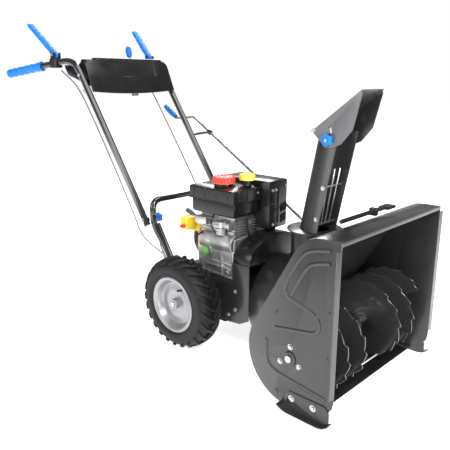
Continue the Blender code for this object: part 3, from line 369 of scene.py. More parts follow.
cable_skin = moulded("cable_skin", (0.10, 0.10, 0.11), (0.16, 0.16, 0.17), 0.45, 900, 0.1)
print("finishes:", len([m for m in bpy.data.materials if m.use_nodes]))

# %% [markdown]
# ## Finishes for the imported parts
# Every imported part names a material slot.  A table turns each slot into a finish, and a second
# table holds the few parts that look different from their slot.

# %% The finishes on the parts that keep their solid shape
SLOT_FINISH = {
    "steel_paint": grey_paint, "gloss_paint": black_gloss, "zinc": zinc_plate, "cast": cast_metal,
    "black_plastic": black_plastic, "rubber": tyre_rubber, "tyre": tyre_rubber,
    "rim_paint": silver_paint, "blue": blue_plastic, "red": red_plastic,
    "yellow": yellow_plastic, "green": green_plastic,
}
OWN_FINISH = {
    "belt_cover": shiny_plastic, "cable_left": cable_skin, "cable_right": cable_skin,
    "auger_gearcase": dark_steel, "crank_rod": dark_steel, "grip_left": soft_blue,
    "grip_right": soft_blue, "crank_grip": soft_blue,
}
for subpart in frame["record"]["subparts"]:
    node = subpart["node"]
    part = frame["nodes"][node]
    part.data.materials.clear()
    part.data.materials.append(OWN_FINISH.get(node, SLOT_FINISH[subpart["material_slot"]]))


# %% [markdown]
# ## How the new pieces are made
# A piece starts as a primitive.  Its points are moved to a profile or an outline, and then it is
# spun, extruded or bevelled in edit mode.  Every finished piece keeps its place in its mesh, so
# its object stays at the origin.

# %% Selecting and bevelling
def only(piece):
    bpy.ops.object.select_all(action="DESELECT")
    piece.select_set(True)
    bpy.context.view_layer.objects.active = piece


def select_parts(piece, kind, wanted):
    """Leaves edit mode on with only the wanted faces, edges or vertices selected."""
    only(piece)
    bpy.ops.object.mode_set(mode="EDIT")
    bpy.ops.mesh.select_mode(type=kind)
    bpy.ops.mesh.select_all(action="DESELECT")
    bpy.ops.object.mode_set(mode="OBJECT")
    elements = {"FACE": piece.data.polygons, "EDGE": piece.data.edges, "VERT": piece.data.vertices}[kind]
    for element in elements:
        element.select = bool(wanted(element))
    bpy.ops.object.mode_set(mode="EDIT")


def bevelled(piece, width, segments=2, angle=30):
    only(piece)
    edge = piece.modifiers.new("edge", "BEVEL")
    edge.width = width
    edge.segments = segments
    edge.angle_limit = radians(angle)
    bpy.ops.object.modifier_apply(modifier=edge.name)


print("pieces can be selected and bevelled")

# %% [markdown]
# ## Joining and closing a piece
# A subassembly such as a row of bolts is one piece, so its parts are joined.  A finished piece gets
# its name and finish, and is hung on the body it moves with, so it follows that body in any pose.

# %% Joining, copying and closing
def joined(pieces):
    only(pieces[0])
    for piece in pieces[1:]:
        piece.select_set(True)
    bpy.ops.object.join()
    return pieces[0]


def copied(piece, move):
    made = piece.copy()
    made.data = piece.data.copy()
    made.data.transform(move)
    bpy.context.scene.collection.objects.link(made)
    return made


def close_piece(piece, name, body, finish, stands_for=(), angle=32, bends=None):
    """Names a piece, gives it its finish and hangs it on its body, or, given bends, bakes its place into its
    mesh and hangs it on no body.
    """
    only(piece)
    bpy.ops.object.transform_apply(location=True, rotation=True, scale=True)
    piece.name = name
    piece.data.name = name
    piece.data.materials.clear()
    piece.data.materials.append(finish)
    bpy.ops.object.shade_smooth_by_angle(angle=radians(angle))
    if bends:
        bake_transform(piece)
    else:
        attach(piece, body)
    if stands_for:
        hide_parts(*stands_for)
    print(name, "-", len(piece.data.polygons), "faces")
    return piece


print("pieces can be joined, copied and closed")


# %% [markdown]
# ## Shapes that repeat
# Most hardware is one of four shapes: a turned part, a cut plate, a block and a bent rod.  A lathe,
# a saw and a bender make the real ones, and spin, extrude and a curve with a round section do the
# same here.  Keeping them as helpers lets each piece below be a few lines of sizes.

# %% Turning
def facing(centre, direction):
    return Matrix.Translation(centre) @ Vector(direction).to_track_quat("Z", "Y").to_matrix().to_4x4()


def turned(profile, centre, direction, steps=48, closed=False):
    """A circle's points moved to a profile of (radius, height) and spun."""
    bpy.ops.object.select_all(action="DESELECT")
    bpy.ops.mesh.primitive_circle_add(vertices=len(profile), radius=0.01)
    piece = bpy.context.object
    for vertex, (radius, height) in zip(piece.data.vertices, profile):
        vertex.co = (radius, 0, height)
    if not closed:
        ends = {0, len(profile) - 1}
        select_parts(piece, "EDGE", lambda edge: set(edge.vertices) == ends)
        bpy.ops.mesh.delete(type="EDGE")
    else:
        bpy.ops.object.mode_set(mode="EDIT")
    bpy.ops.mesh.select_all(action="SELECT")
    bpy.ops.mesh.spin(steps=steps, angle=2 * pi, center=(0, 0, 0), axis=(0, 0, 1))
    bpy.ops.mesh.select_all(action="SELECT")
    bpy.ops.mesh.remove_doubles(threshold=0.00001)
    bpy.ops.mesh.normals_make_consistent(inside=False)
    bpy.ops.object.mode_set(mode="OBJECT")
    piece.data.transform(facing(centre, direction))
    return piece


print("turned shapes are ready")

# %% [markdown]
# ## Plates and blocks
# A plate is sawn from sheet and a moulded box starts as a block.  A filled circle has as many points
# as are asked for, so its points can be moved to any outline and extruded, and a cube can be
# scaled to any box.  A bevel then takes the sharpness off.

# %% Cutting out plates and blocks
def cut_out(outline, place, push, bevel=0.0, segments=2):
    """A filled circle's points moved to an outline, set out in space by place(u, v), and extruded."""
    bpy.ops.object.select_all(action="DESELECT")
    bpy.ops.mesh.primitive_circle_add(vertices=len(outline), radius=0.01, fill_type="NGON")
    piece = bpy.context.object
    for vertex, (u, v) in zip(piece.data.vertices, outline):
        vertex.co = place(u, v)
    bpy.ops.object.mode_set(mode="EDIT")
    bpy.ops.mesh.select_all(action="SELECT")
    bpy.ops.mesh.extrude_region_move(TRANSFORM_OT_translate={"value": tuple(push)})
    bpy.ops.mesh.select_all(action="SELECT")
    bpy.ops.mesh.normals_make_consistent(inside=False)
    bpy.ops.object.mode_set(mode="OBJECT")
    if bevel:
        bevelled(piece, bevel, segments)
    return piece


def block(low, high, bevel=0.0, segments=2):
    low, high = Vector(low), Vector(high)
    bpy.ops.object.select_all(action="DESELECT")
    bpy.ops.mesh.primitive_cube_add(size=1, location=(low + high) / 2, scale=high - low)
    piece = bpy.context.object
    bpy.ops.object.transform_apply(location=True, rotation=True, scale=True)
    if bevel:
        bevelled(piece, bevel, segments)
    return piece


print("plates and blocks are ready")

# %% [markdown]
# ## Bent rods
# Rods, hoses and the ribs of a plate follow a line.  A bender rounds each corner, and the path does
# the same with a short curve, which a curve object's round section then follows.

# %% Bending rods
def bent_rod(points, radius, corner=0.0, sides=3):
    """A curve through the points, given a round section and made a mesh."""
    bpy.ops.object.select_all(action="DESELECT")
    bpy.ops.curve.primitive_nurbs_path_add()
    drawn = bpy.context.object
    drawn.data.splines.clear()
    spline = drawn.data.splines.new("POLY")
    path = rounded_path([Vector(p) for p in points], corner) if corner else [Vector(p) for p in points]
    spline.points.add(len(path) - 1)
    for point, place in zip(spline.points, path):
        point.co = (*place, 1)
    drawn.location = (0, 0, 0)
    drawn.data.dimensions = "3D"
    drawn.data.bevel_depth = radius
    drawn.data.bevel_resolution = sides
    drawn.data.use_fill_caps = True
    bpy.ops.object.convert(target="MESH")
    made = bpy.context.object
    bpy.ops.object.mode_set(mode="EDIT")
    bpy.ops.mesh.select_all(action="SELECT")
    bpy.ops.mesh.remove_doubles(threshold=0.00001)
    bpy.ops.mesh.normals_make_consistent(inside=False)
    bpy.ops.object.mode_set(mode="OBJECT")
    return made


def rounded_path(points, radius, steps=6):
    path = [points[0]]
    for before, corner, after in zip(points, points[1:], points[2:]):
        into = (before - corner).normalized() * min(radius, (before - corner).length * 0.49)
        out = (after - corner).normalized() * min(radius, (after - corner).length * 0.49)
        for step in range(steps + 1):
            t = step / steps
            path.append(corner + into * (1 - t) ** 2 + out * t ** 2)
    return path + [points[-1]]


print("bent rods are ready")

# %% [markdown]
# ## Hexagon bolts
# The same bolt is used all over the machine, in a few sizes.  A cylinder with six sides is the head
# and a turned ring is the washer.  The thread would never be seen, so there is none.

# %% A bolt
def hex_bolt(place, direction, size=0.0070, washer=0.0095):
    """A washer and a bevelled hexagon head."""
    bpy.ops.object.select_all(action="DESELECT")
    bpy.ops.mesh.primitive_cylinder_add(vertices=6, radius=size, depth=0.0042, location=(0, 0, 0.0031))
    head = bpy.context.object
    bevelled(head, 0.0008, 2, 40)
    ring = turned([(0, 0), (washer, 0), (washer, 0.0010), (0, 0.0012)], (0, 0, 0), (0, 0, 1), 24)
    bolt = joined([head, ring])
    only(bolt)
    bpy.ops.object.transform_apply(location=True, rotation=True, scale=True)
    bolt.data.transform(facing(place, direction))
    return bolt


print("bolts are ready")


# %% [markdown]
# ## Wheels
# A snow tyre is a round carcass with tall lugs laid over its shoulders in a herringbone.  The
# carcass is spun from its section.  One lug is made from a cube, laid on that section, and
# copied round, so all lugs are alike, as they are from a mould.

# %% Section of the tyre
def at(x, y, z):
    """A place measured from the wheel axle."""
    return Vector((x, y + Y_AXLE, z))


WHEEL_CENTRE = at(0.2306, 0, 0.164)
LUG_PAIRS = 24
BAND_RADIUS = 0.108             # the raised ring on the sidewall


def section_point(angle, proud=0.0):
    """A point of the tyre's squared-off section, as (radius, height along the axle)."""
    c, s = cos(angle), sin(angle)
    across = 0.0495 * abs(c) ** 0.77 * (1 if c > 0 else -1)
    radius = 0.1205 + 0.0335 * abs(s) ** 0.77 * (1 if s > 0 else -1)
    return radius + proud * s, across + proud * c * 0.55


print("section at the tread and the side:", section_point(pi / 2), section_point(0))

# %% [markdown]
# ## One tread lug
# A lug is a tall rubber bar that slants toward the shoulder, wider there than in the middle.  A cube
# cut in four each way has enough points to be laid on the curved section.

# %% Tread lug
LUG_SLANT = 0.27                # radians round the tyre, from the middle to the shoulder


def tyre_lug(number, half):
    """One lug, from the middle of the tread out and down over the shoulder."""
    bpy.ops.object.select_all(action="DESELECT")
    bpy.ops.mesh.primitive_cube_add(size=1)
    lug = bpy.context.object
    bpy.ops.object.mode_set(mode="EDIT")
    bpy.ops.mesh.subdivide(number_cuts=3)
    bpy.ops.object.mode_set(mode="OBJECT")
    bevelled(lug, 0.06, 1, 50)
    for vertex in lug.data.vertices:
        along, wide, tall = vertex.co.x + 0.5, vertex.co.y, vertex.co.z + 0.5
        angle = radians(93 - 62 * along)
        height = 0.0100 * tall - 0.001
        radius, across = section_point(angle, height)
        width = (0.0135 + 0.0060 * along) * (1 - 0.20 * tall)
        turn = 2 * pi * (number + half * 0.25) / LUG_PAIRS + (LUG_SLANT * along + wide * width / radius)
        vertex.co = (radius * cos(turn), radius * sin(turn), across * half)
    if half < 0:
        only(lug)
        bpy.ops.object.mode_set(mode="EDIT")
        bpy.ops.mesh.select_all(action="SELECT")
        bpy.ops.mesh.flip_normals()
        bpy.ops.object.mode_set(mode="OBJECT")
    return lug


print("each lug slants", round(degrees(LUG_SLANT), 1), "degrees round the tyre")

# %% [markdown]
# ## The whole tyre
# The carcass is spun from the section.  The first pair of lugs is copied round it by turning, so the
# spacing is exact, and a thin raised ring is laid on each sidewall, as the mould leaves one.

# %% Carcass, lugs and sidewall rings
def make_tyre(name, side):
    profile = [section_point(2 * pi * k / 40) for k in range(40)]
    carcass = turned(profile, (0, 0, 0), (0, 0, 1), 84, closed=True)
    first = [tyre_lug(0, 1), tyre_lug(0, -1)]
    lugs = [copied(lug, Matrix.Rotation(2 * pi * k / LUG_PAIRS, 4, "Z"))
            for lug in first for k in range(1, LUG_PAIRS)]
    bands = [turned([(BAND_RADIUS - 0.002, 0.0472 * half), (BAND_RADIUS, 0.0495 * half),
                     (BAND_RADIUS + 0.0025, 0.0478 * half)], (0, 0, 0), (0, 0, 1), 84)
             for half in (1, -1)]
    tyre = joined([carcass] + first + lugs + bands)
    centre = Vector((side * WHEEL_CENTRE.x, WHEEL_CENTRE.y, WHEEL_CENTRE.z))
    tyre.data.transform(facing(centre, (side, 0, 0)))
    return close_piece(tyre, f"snow_tyre_{name}", "wheels", tyre_rubber, (f"tyre_{name}",))


print("lugs on each tyre:", LUG_PAIRS * 2)


# %% [markdown]
# ## Rims and hubs
# The rim is two pressed dishes welded together and painted silver: a deep well, a bead flange and
# a hub tube with a cross pin through it.  One closed profile spun about the axle gives the whole
# section with its wall thickness, and a fine bevel catches light along each pressed corner.

# %% Tyres, rims, valves and hub pins
def make_rim(name, side):
    outer = [(0.0105, 0.041), (0.0175, 0.041), (0.0180, 0.0225), (0.031, 0.0235), (0.037, 0.0262),
             (0.052, 0.0240), (0.068, 0.0180), (0.0745, 0.0190), (0.080, 0.0260), (0.0835, 0.040),
             (0.088, 0.0460), (0.0955, 0.0480), (0.1000, 0.0450)]
    inner = [(0.0955, 0.0450), (0.087, 0.0430), (0.081, 0.030), (0.080, -0.038), (0.098, -0.045),
             (0.0955, -0.048), (0.078, -0.042), (0.076, 0.012), (0.068, 0.0150), (0.037, 0.0230),
             (0.0165, 0.018), (0.0165, -0.046), (0.0105, -0.046)]
    centre = Vector((side * WHEEL_CENTRE.x, WHEEL_CENTRE.y, WHEEL_CENTRE.z))
    rim = turned(outer + inner, centre, (side, 0, 0), 72, closed=True)
    bevelled(rim, 0.0008, 2, 40)
    close_piece(rim, f"dished_rim_{name}", "wheels", silver_paint, (f"rim_{name}",), 50)
    spot = radians(118)
    foot = centre + Vector((side * 0.018, 0.062 * cos(spot), 0.062 * sin(spot)))
    valve = turned([(0, 0), (0.0052, 0), (0.0048, 0.006), (0.0030, 0.011), (0.0030, 0.021),
                    (0.0038, 0.0215), (0.0038, 0.027), (0, 0.028)], foot, (side, 0, 0.12), 20)
    close_piece(valve, f"tyre_valve_{name}", "wheels", black_plastic)
    hub = centre + Vector((side * 0.034, 0, 0))
    pin = bent_rod([hub + Vector((0, -0.023, 0.008)), hub + Vector((0, 0.023, -0.008))], 0.0030)
    end = turned([(0, 0.002), (0.0085, 0.002), (0.0090, 0.001), (0.0090, 0), (0, 0)],
                 centre + Vector((side * 0.0415, 0, 0)), (side, 0, 0), 24)
    close_piece(joined([pin, end]), f"hub_pin_{name}", "wheels", zinc_plate)


for name, side in (("left", 1), ("right", -1)):
    make_tyre(name, side)
    make_rim(name, side)


# %% [markdown]
# ## Smooth copies of pressed and drawn parts
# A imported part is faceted.  Tubes, drums and covers are copied, their facets merged, and their
# edges given the small radius that a press or a paint coat leaves, so highlights run along them.

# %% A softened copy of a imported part
BODY_OF = {node: body for body, nodes in frame["record"]["behaviour"]["bodies"].items() for node in nodes}
SOFT_ANGLE = 32                 # degrees; edges sharper than this get the radius


def softened(node, finish, width, bends=None):
    part = frame["nodes"][node]
    soft = bpy.data.objects.new(f"soft_{node}", part.data.copy())
    bpy.context.scene.collection.objects.link(soft)
    only(soft)
    bpy.ops.object.mode_set(mode="EDIT")
    bpy.ops.mesh.select_all(action="SELECT")
    bpy.ops.mesh.remove_doubles(threshold=0.00002)
    if not bends:
        bpy.ops.mesh.dissolve_limited(angle_limit=radians(0.6))
    bpy.ops.object.mode_set(mode="OBJECT")
    if width:
        bevelled(soft, width, 2, SOFT_ANGLE)
    return close_piece(soft, f"{node}_shell", BODY_OF[node], finish, (node,),
                       SOFT_ANGLE, bends)


for node, finish in (("handlebar_left", black_gloss), ("handlebar_right", black_gloss),
                     ("lower_handle_frame", black_gloss), ("crank_rod", dark_steel),
                     ("chute_guard", zinc_plate), ("crank_eye", black_gloss), ("auger_gearcase", black_gloss),
                     ("auger_shaft", zinc_plate), ("wheel_axle", zinc_plate)):
    softened(node, finish, 0)
# The chute and the deflector get lighter copies of the grey paint as painted light, and the drum, the housing
# shell and the scraper bar get shadow_paint as painted shade.
for node, finish, width in (("impeller_drum", shadow_paint, 0.0010), ("belt_cover", shiny_plastic, 0.0012),
                            ("chassis_box", grey_paint, 0.0012), ("housing_shell", shadow_paint, 0.0008),
                            ("skid_shoe_left", grey_paint, 0.0007), ("skid_shoe_right", grey_paint, 0.0007),
                            ("scraper_bar", shadow_paint, 0.0006),
                            ("lever_bracket_left", black_plastic, 0.0008),
                            ("lever_bracket_right", black_plastic, 0.0008), ("chute", chute_grey_painted_light, 0.0008),
                            ("deflector", deflector_grey_painted_light, 0.0007), ("control_panel", shiny_plastic, 0.0014),
                            ("side_plate_left", grey_paint, 0.0010), ("side_plate_right", grey_paint, 0.0010),
                            ("starter_housing", black_plastic, 0.0016),
                            ("drive_clutch_lever", blue_plastic, 0.0016),
                            ("auger_clutch_lever", blue_plastic, 0.0016)):
    softened(node, finish, width)

# %% [markdown]
# ## Control cables
# Each cable is held at the lever and at the chassis, so it has to bend where the handlebar folds.
# Splitting it at the hinge would leave a gap.  Here the cable stays one piece, hung on no body, and
# it keeps all its rings of points, so here the facets aren't merged.

# %% Cables kept whole, on no body
for node, low_end, high_end in (("cable_right", at(-0.200, 0.215, 0.330), at(-0.223, 0.330, 0.540)),
                                ("cable_left", at(0.120, 0.160, 0.300), at(0.138, 0.340, 0.540))):
    softened(node, cable_skin, 0, bends=("frame", "handlebar", low_end, high_end))

# %% [markdown]
# ## Painted light and shade on the deflector
# The deflector's outer sheets get a light satin grey, painted light where the key light falls, and
# its inside gets a dark paint as painted shade.  It is one folded sheet, so rather than cutting it
# apart, its faces are given one of two finishes by the way they point.

# %% The deflector gets painted light outside and painted shade inside
hood = bpy.data.objects["deflector_shell"]
hood.data.materials.append(shadow_paint)
side_reach = max(abs(vertex.co.x) for vertex in hood.data.vertices) - 0.0008
# Faces of the outer sheets, and faces that point up and to the rear, keep the light grey as painted light;
# every other face gets shadow_paint as painted shade.
for face in hood.data.polygons:
    painted_lit_face = abs(face.normal.x) > 0.9 and abs(face.center.x) > side_reach - 0.0006
    face.material_index = 0 if painted_lit_face or face.normal.z > 0.3 and face.normal.y > 0.3 else 1
print("deflector faces in shadow paint:", sum(face.material_index for face in hood.data.polygons))


# %% [markdown]
# ## Embossed side plates
# A press raises ribs in each plate to stiffen it.  Each rib is a rod drawn along its line and
# flattened against the plate.  The bearing, the skid shoe and the seams have bolts.

# %% Ribs on the plates
PLATE_FACE = 0.290              # the plates' outer faces, from the middle
AUGER_Y, AUGER_Z = -0.517, 0.156
RIB_RADIUS, RIB_FLATNESS = 0.0062, 0.45
RIB_LINES = {
    "edge": [(-0.634, 0.497), (-0.578, 0.487), (-0.550, 0.471), (-0.523, 0.430), (-0.487, 0.362),
             (-0.512, 0.333)],
    "inner": [(-0.634, 0.463), (-0.578, 0.450), (-0.559, 0.430), (-0.512, 0.343)],
    "slanted": [(-0.512, 0.335), (-0.607, 0.308), (-0.611, 0.259), (-0.462, 0.234)],
    "low": [(-0.431, 0.188), (-0.433, 0.116), (-0.463, 0.097), (-0.640, 0.075)],
}


def plate_rib(points, side):
    face = side * PLATE_FACE
    rib = bent_rod([at(face, y, z) for y, z in points], RIB_RADIUS, 0.030, 3)
    for vertex in rib.data.vertices:
        vertex.co.x = face + (vertex.co.x - face) * RIB_FLATNESS
    return rib


for name, side in (("left", 1), ("right", -1)):
    ribs = [plate_rib(points, side) for points in RIB_LINES.values()]
    close_piece(joined(ribs), f"plate_ribs_{name}", "frame", grey_paint, angle=60)
    outward = (side, 0, 0)
    bolts = [hex_bolt(at(side * PLATE_FACE, y, z), outward, 0.0062, 0.0085)
             for y, z in ((-0.518, 0.192), (-0.484, 0.136), (-0.550, 0.140))]
    bolts += [hex_bolt(at(side * 0.2935, y, z), outward, 0.0068, 0.0100)
              for y, z in ((-0.530, 0.036), (-0.603, 0.036))]
    close_piece(joined(bolts), f"plate_bolts_{name}", "frame", zinc_plate)
    # The black discs stand for holes in the plate: painted shade for the dark inside seen through them.
    painted_hole_shade = [turned([(0, 0.0004), (radius, 0.0004), (radius + 0.0008, 0)],
                    at(side * PLATE_FACE, y, z), outward, 24)
             for y, z, radius in ((-0.604, 0.478, 0.0042), (-0.538, 0.425, 0.0036), (-0.466, 0.283, 0.0040),
                                  (-0.640, 0.330, 0.0030), (-0.640, 0.200, 0.0030))]
    close_piece(joined(painted_hole_shade), f"plate_painted_hole_shade_{name}", "frame", black_plastic)
    bearing = turned([(0.0102, 0.0042), (0.019, 0.0042), (0.0205, 0.0030), (0.0210, 0.0003),
                      (0.0102, 0.0003)], at(side * PLATE_FACE, AUGER_Y, AUGER_Z), outward, 40, closed=True)
    bevelled(bearing, 0.0006, 2, 40)
    close_piece(bearing, f"bearing_flange_{name}", "frame", grey_paint, angle=45)


# %% [markdown]
# ## Augers
# Each auger is one strip of steel wound on a hub, with teeth along its rim that break up ice.
# A radial strip with a Screw modifier winds it; the rim's points are then notched, and Solidify
# gives the sheet its thickness.

# %% Winding the flights
FLIGHT_START, FLIGHT_PITCH, FLIGHT_TURNS = 0.0565, 0.090, 2.4
STEPS_PER_TURN = 96
TOOTH_STEPS = 6                 # one saw tooth each six steps, sixteen to a turn
FLIGHT_HUB, FLIGHT_RIM = 0.0160, 0.1378
TOOTH_DEPTH, TOOTH_FROM = 0.0095, 0.135


def make_flight(name, side):
    bpy.ops.object.select_all(action="DESELECT")
    bpy.ops.mesh.primitive_grid_add(x_subdivisions=1, y_subdivisions=5, size=1)
    flight = bpy.context.object
    select_parts(flight, "VERT", lambda vertex: vertex.co.x > 0)
    bpy.ops.mesh.delete(type="VERT")
    bpy.ops.object.mode_set(mode="OBJECT")
    for vertex in flight.data.vertices:
        vertex.co = (0, FLIGHT_HUB + (vertex.co.y + 0.5) * (FLIGHT_RIM - FLIGHT_HUB), 0)
    winding = flight.modifiers.new("winding", "SCREW")
    winding.axis = "X"
    winding.angle = 2 * pi * FLIGHT_TURNS
    winding.screw_offset = FLIGHT_PITCH * FLIGHT_TURNS
    winding.steps = round(STEPS_PER_TURN * FLIGHT_TURNS)
    winding.render_steps = winding.steps
    bpy.ops.object.modifier_apply(modifier="winding")
    for vertex in flight.data.vertices:
        radius = (vertex.co.y ** 2 + vertex.co.z ** 2) ** 0.5
        step = round(vertex.co.x / FLIGHT_PITCH * STEPS_PER_TURN)
        if radius > TOOTH_FROM:
            shorter = 1 - TOOTH_DEPTH * (1 - step % TOOTH_STEPS / (TOOTH_STEPS - 1)) / radius
            vertex.co.y *= shorter
            vertex.co.z *= shorter
    gauge = flight.modifiers.new("gauge", "SOLIDIFY")
    gauge.thickness = 0.0034
    gauge.offset = 0
    bpy.ops.object.modifier_apply(modifier="gauge")
    bevelled(flight, 0.0006, 1, 60)
    hub = turned([(0.0104, 0), (0.0170, 0), (0.0170, 0.228), (0.0104, 0.228)],
                 (-0.0045, 0, 0), (1, 0, 0), 36, closed=True)
    flight = joined([flight, hub])
    turn = Matrix.Rotation(pi, 4, "Y") if side < 0 else Matrix.Identity(4)
    flight.data.transform(Matrix.Translation(at(0, AUGER_Y, AUGER_Z)) @ turn
                          @ Matrix.Translation((FLIGHT_START + 0.002, 0, 0)))
    close_piece(flight, f"auger_blade_{name}", "auger", auger_paint,
                (f"auger_flight_{name}",), 40)


for name, side in (("left", 1), ("right", -1)):
    make_flight(name, side)

# %% [markdown]
# ## Gearcase bolts
# The gearcase between the augers is two cast halves, bolted round their rim.  Twelve small bolts,
# six to a side, are set on a circle about the auger's shaft.

# %% Bolts on the gearcase
case_bolts = []
for turn in range(6):
    angle = turn * pi / 3 + 0.3
    for way in (-1, 1):
        place = at(way * 0.0245, AUGER_Y + 0.036 * cos(angle), AUGER_Z + 0.036 * sin(angle))
        case_bolts.append(hex_bolt(place + Vector((way * 0.003, 0, 0)), (way, 0, 0), 0.0042, 0.0056))
close_piece(joined(case_bolts), "gearcase_bolts", "frame", zinc_plate)


# %% [markdown]
# ## Engine
# The tank and the shroud are blow-moulded: big soft corners, a flange where the halves meet, and
# shallow ribs.  The crankcase is a bright sand casting with a rounded breather cover, stiffening
# ribs and machined bosses.  Blocks with wide bevels give the mouldings; short bars and turned
# bosses give the casting.

# %% Fuel tank
tank_low, tank_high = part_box("fuel_tank")
tank_top = tank_low.z + 0.100
rib_low, rib_high = tank_top - 0.045, tank_top - 0.010
lower = block(tank_low + Vector((0.005, 0.005, 0)),
              (tank_high.x - 0.005, tank_high.y - 0.005, tank_top - 0.046), 0.011, 4)
upper = block((tank_low.x, tank_low.y, tank_top - 0.052), (tank_high.x, tank_high.y, tank_top), 0.004, 2)
select_parts(upper, "FACE", lambda face: face.normal.z > 0.95 and face.area > 0.005)
bpy.ops.mesh.inset(thickness=0.020)
bpy.ops.transform.translate(value=(0, 0, 0.006))
bpy.ops.mesh.inset(thickness=0.018)
bpy.ops.transform.translate(value=(0, 0, 0.0015))
bpy.ops.object.mode_set(mode="OBJECT")
for vertex in upper.data.vertices:
    if vertex.co.z > tank_top - 0.008:
        vertex.co.z -= 0.0075
bevelled(upper, 0.006, 4, 14)
flange = block((tank_low.x - 0.0015, tank_low.y - 0.0015, tank_top - 0.0515),
               (tank_high.x + 0.0010, tank_high.y + 0.0015, tank_top - 0.0470), 0.0018, 2)
ribs = []
for k in range(4):
    y = tank_low.y + 0.026 + k * 0.053
    ribs.append(block((tank_low.x - 0.0018, y, rib_low), (tank_low.x + 0.004, y + 0.006, rib_high),
                      0.0016, 2))
for k in range(3):
    x = tank_low.x + 0.024 + k * 0.042
    ribs.append(block((x, tank_low.y - 0.0018, rib_low), (x + 0.006, tank_low.y + 0.004, rib_high),
                      0.0016, 2))
cap_place = at(-0.100, -0.080, 0.5825)
neck = turned([(0, -0.016), (0.0300, -0.016), (0.0300, -0.010), (0.0262, -0.0085), (0.0262, -0.0002),
               (0, 0)], cap_place, (0, 0, 1), 40)
close_piece(joined([lower, upper, flange, neck] + ribs), "tank_shell", "frame", shiny_plastic,
            ("fuel_tank",), 30)


# %% [markdown]
# ## Filler caps
# The fuel cap, the oil cap and the dipstick's cap are turned by wet gloves, so their skirts are
# ribbed and a bar crosses the top.  A ring of points with every other pair pulled in makes the ribs
# when it is extruded; a spun crown closes the top, and a rounded bar is laid over it.

# %% Ribbed caps
def ribbed_cap(name, place, body, finish, radius, height, ridges, node, direction=(0, 0, 1)):
    steps = ridges * 4
    outline = []
    for k in range(steps):
        reach = radius - (0.0012 if k % 4 in (0, 1) else 0)
        outline.append((reach * cos(2 * pi * k / steps), reach * sin(2 * pi * k / steps)))
    skirt = cut_out(outline, lambda u, v: (u, v, 0), (0, 0, height * 0.86), 0.0007, 1)
    crown = turned([(0, height), (radius * 0.55, height), (radius * 0.80, height * 0.96),
                    (radius * 0.93, height * 0.84), (radius * 0.93, height * 0.70), (0, height * 0.70)],
                   (0, 0, 0), (0, 0, 1), 48)
    grip_bar = block((-radius * 0.62, -0.0035, height * 0.9), (radius * 0.62, 0.0035, height * 1.12),
                     0.0018, 2)
    cap = joined([skirt, crown, grip_bar])
    cap.data.transform(facing(place, direction))
    return close_piece(cap, name, body, finish, (node,), 35)


print("caps are ready")

# %% [markdown]
# ## The three caps
# Each cap turns on its own body, so each is a piece of its own.  Seals and necks that turn with a cap
# ride with it.

# %% Fuel cap, oil cap and dipstick
orange = moulded("orange_seal", (0.80, 0.16, 0.03), (0.82, 0.20, 0.05), 0.4, 900, 0.05)
ribbed_cap("fuel_cap_ribbed", cap_place + Vector((0, 0, -0.0030)), "fuel_cap", red_plastic,
           0.0385, 0.0225, 26, "fuel_cap")
seal = turned([(0.0270, 0), (0.0372, 0), (0.0380, 0.0012), (0.0380, 0.0022), (0.0270, 0.0024)],
              cap_place + Vector((0, 0, -0.0056)), (0, 0, 1), 48, closed=True)
close_piece(seal, "fuel_cap_seal", "fuel_cap", orange)
filler_place = at(-0.050, -0.140, 0.5703)
ribbed_cap("oil_cap_ribbed", filler_place + Vector((0, 0, 0.018)), "oil_filler_cap", yellow_plastic,
           0.0270, 0.0215, 20, "oil_filler_cap")
stem = turned([(0, -0.0002), (0.0165, -0.0002), (0.0150, 0.004), (0.0125, 0.006), (0.0125, 0.0178),
               (0, 0.0178)], filler_place, (0, 0, 1), 32)
close_piece(stem, "oil_cap_neck", "oil_filler_cap", black_plastic)
ribbed_cap("dipstick_ribbed", at(-0.1373, -0.030, 0.336), "dipstick_cap", green_plastic,
           0.0160, 0.016, 12, "dipstick_cap", (-1, 0, 0))
stalk = turned([(0, 0.0001), (0.0125, 0.0001), (0.0120, 0.008), (0.0100, 0.0122), (0, 0.0122)],
               at(-0.1253, -0.030, 0.336), (-1, 0, 0), 28)
close_piece(stalk, "dipstick_stalk", "dipstick_cap", black_plastic)


# %% [markdown]
# ## Shroud over the exhaust
# A black box keeps hands off the hot muffler.  It has soft corners, a seam, a strap and slots for
# the heat.  A block that is bevelled twice, small and then wide, gives the box, and small raised
# bars stand for the strap and the slots' frames.

# %% Shroud over the exhaust
hood_low, hood_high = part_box("engine_hood")
hood = block(hood_low, hood_high, 0.004, 2)
bevelled(hood, 0.012, 5, 50)
hood_face = hood_low.y          # the strap and the slots stand on the front face
details = [block((0.034, hood_face - 0.0030, 0.435), (0.045, hood_face + 0.006, 0.560), 0.0022, 2),
           block((hood_low.x - 0.0006, hood_face - 0.0022, 0.505), (0.034, hood_face + 0.004, 0.509),
                 0.0012, 1),
           block((hood_low.x - 0.0020, hood_face + 0.01, 0.500), (hood_low.x + 0.004, Y_AXLE, 0.504),
                 0.0012, 1)]
for row in range(2):
    for k in range(5):
        x, z = 0.052 + k * 0.0068, 0.432 + row * 0.038 + k * 0.0012
        details.append(block((x, hood_face - 0.0022, z), (x + 0.0030, hood_face + 0.004, z + 0.030),
                             0.0010, 1))
close_piece(joined([hood] + details), "exhaust_shroud", "frame", shiny_plastic,
            ("engine_hood",), 30)
screws = [hex_bolt(Vector((x, hood_face - 0.0002, z)), (0, -1, 0), 0.0032, 0.0046)
          for x, z in ((0.006, 0.552), (0.024, 0.552), (0.078, 0.560), (0.010, 0.432))]
screws.append(hex_bolt(Vector((-0.030, tank_low.y - 0.0002, 0.545)), (0, -1, 0), 0.0032, 0.0046))
close_piece(joined(screws), "shroud_screws", "frame", zinc_plate)

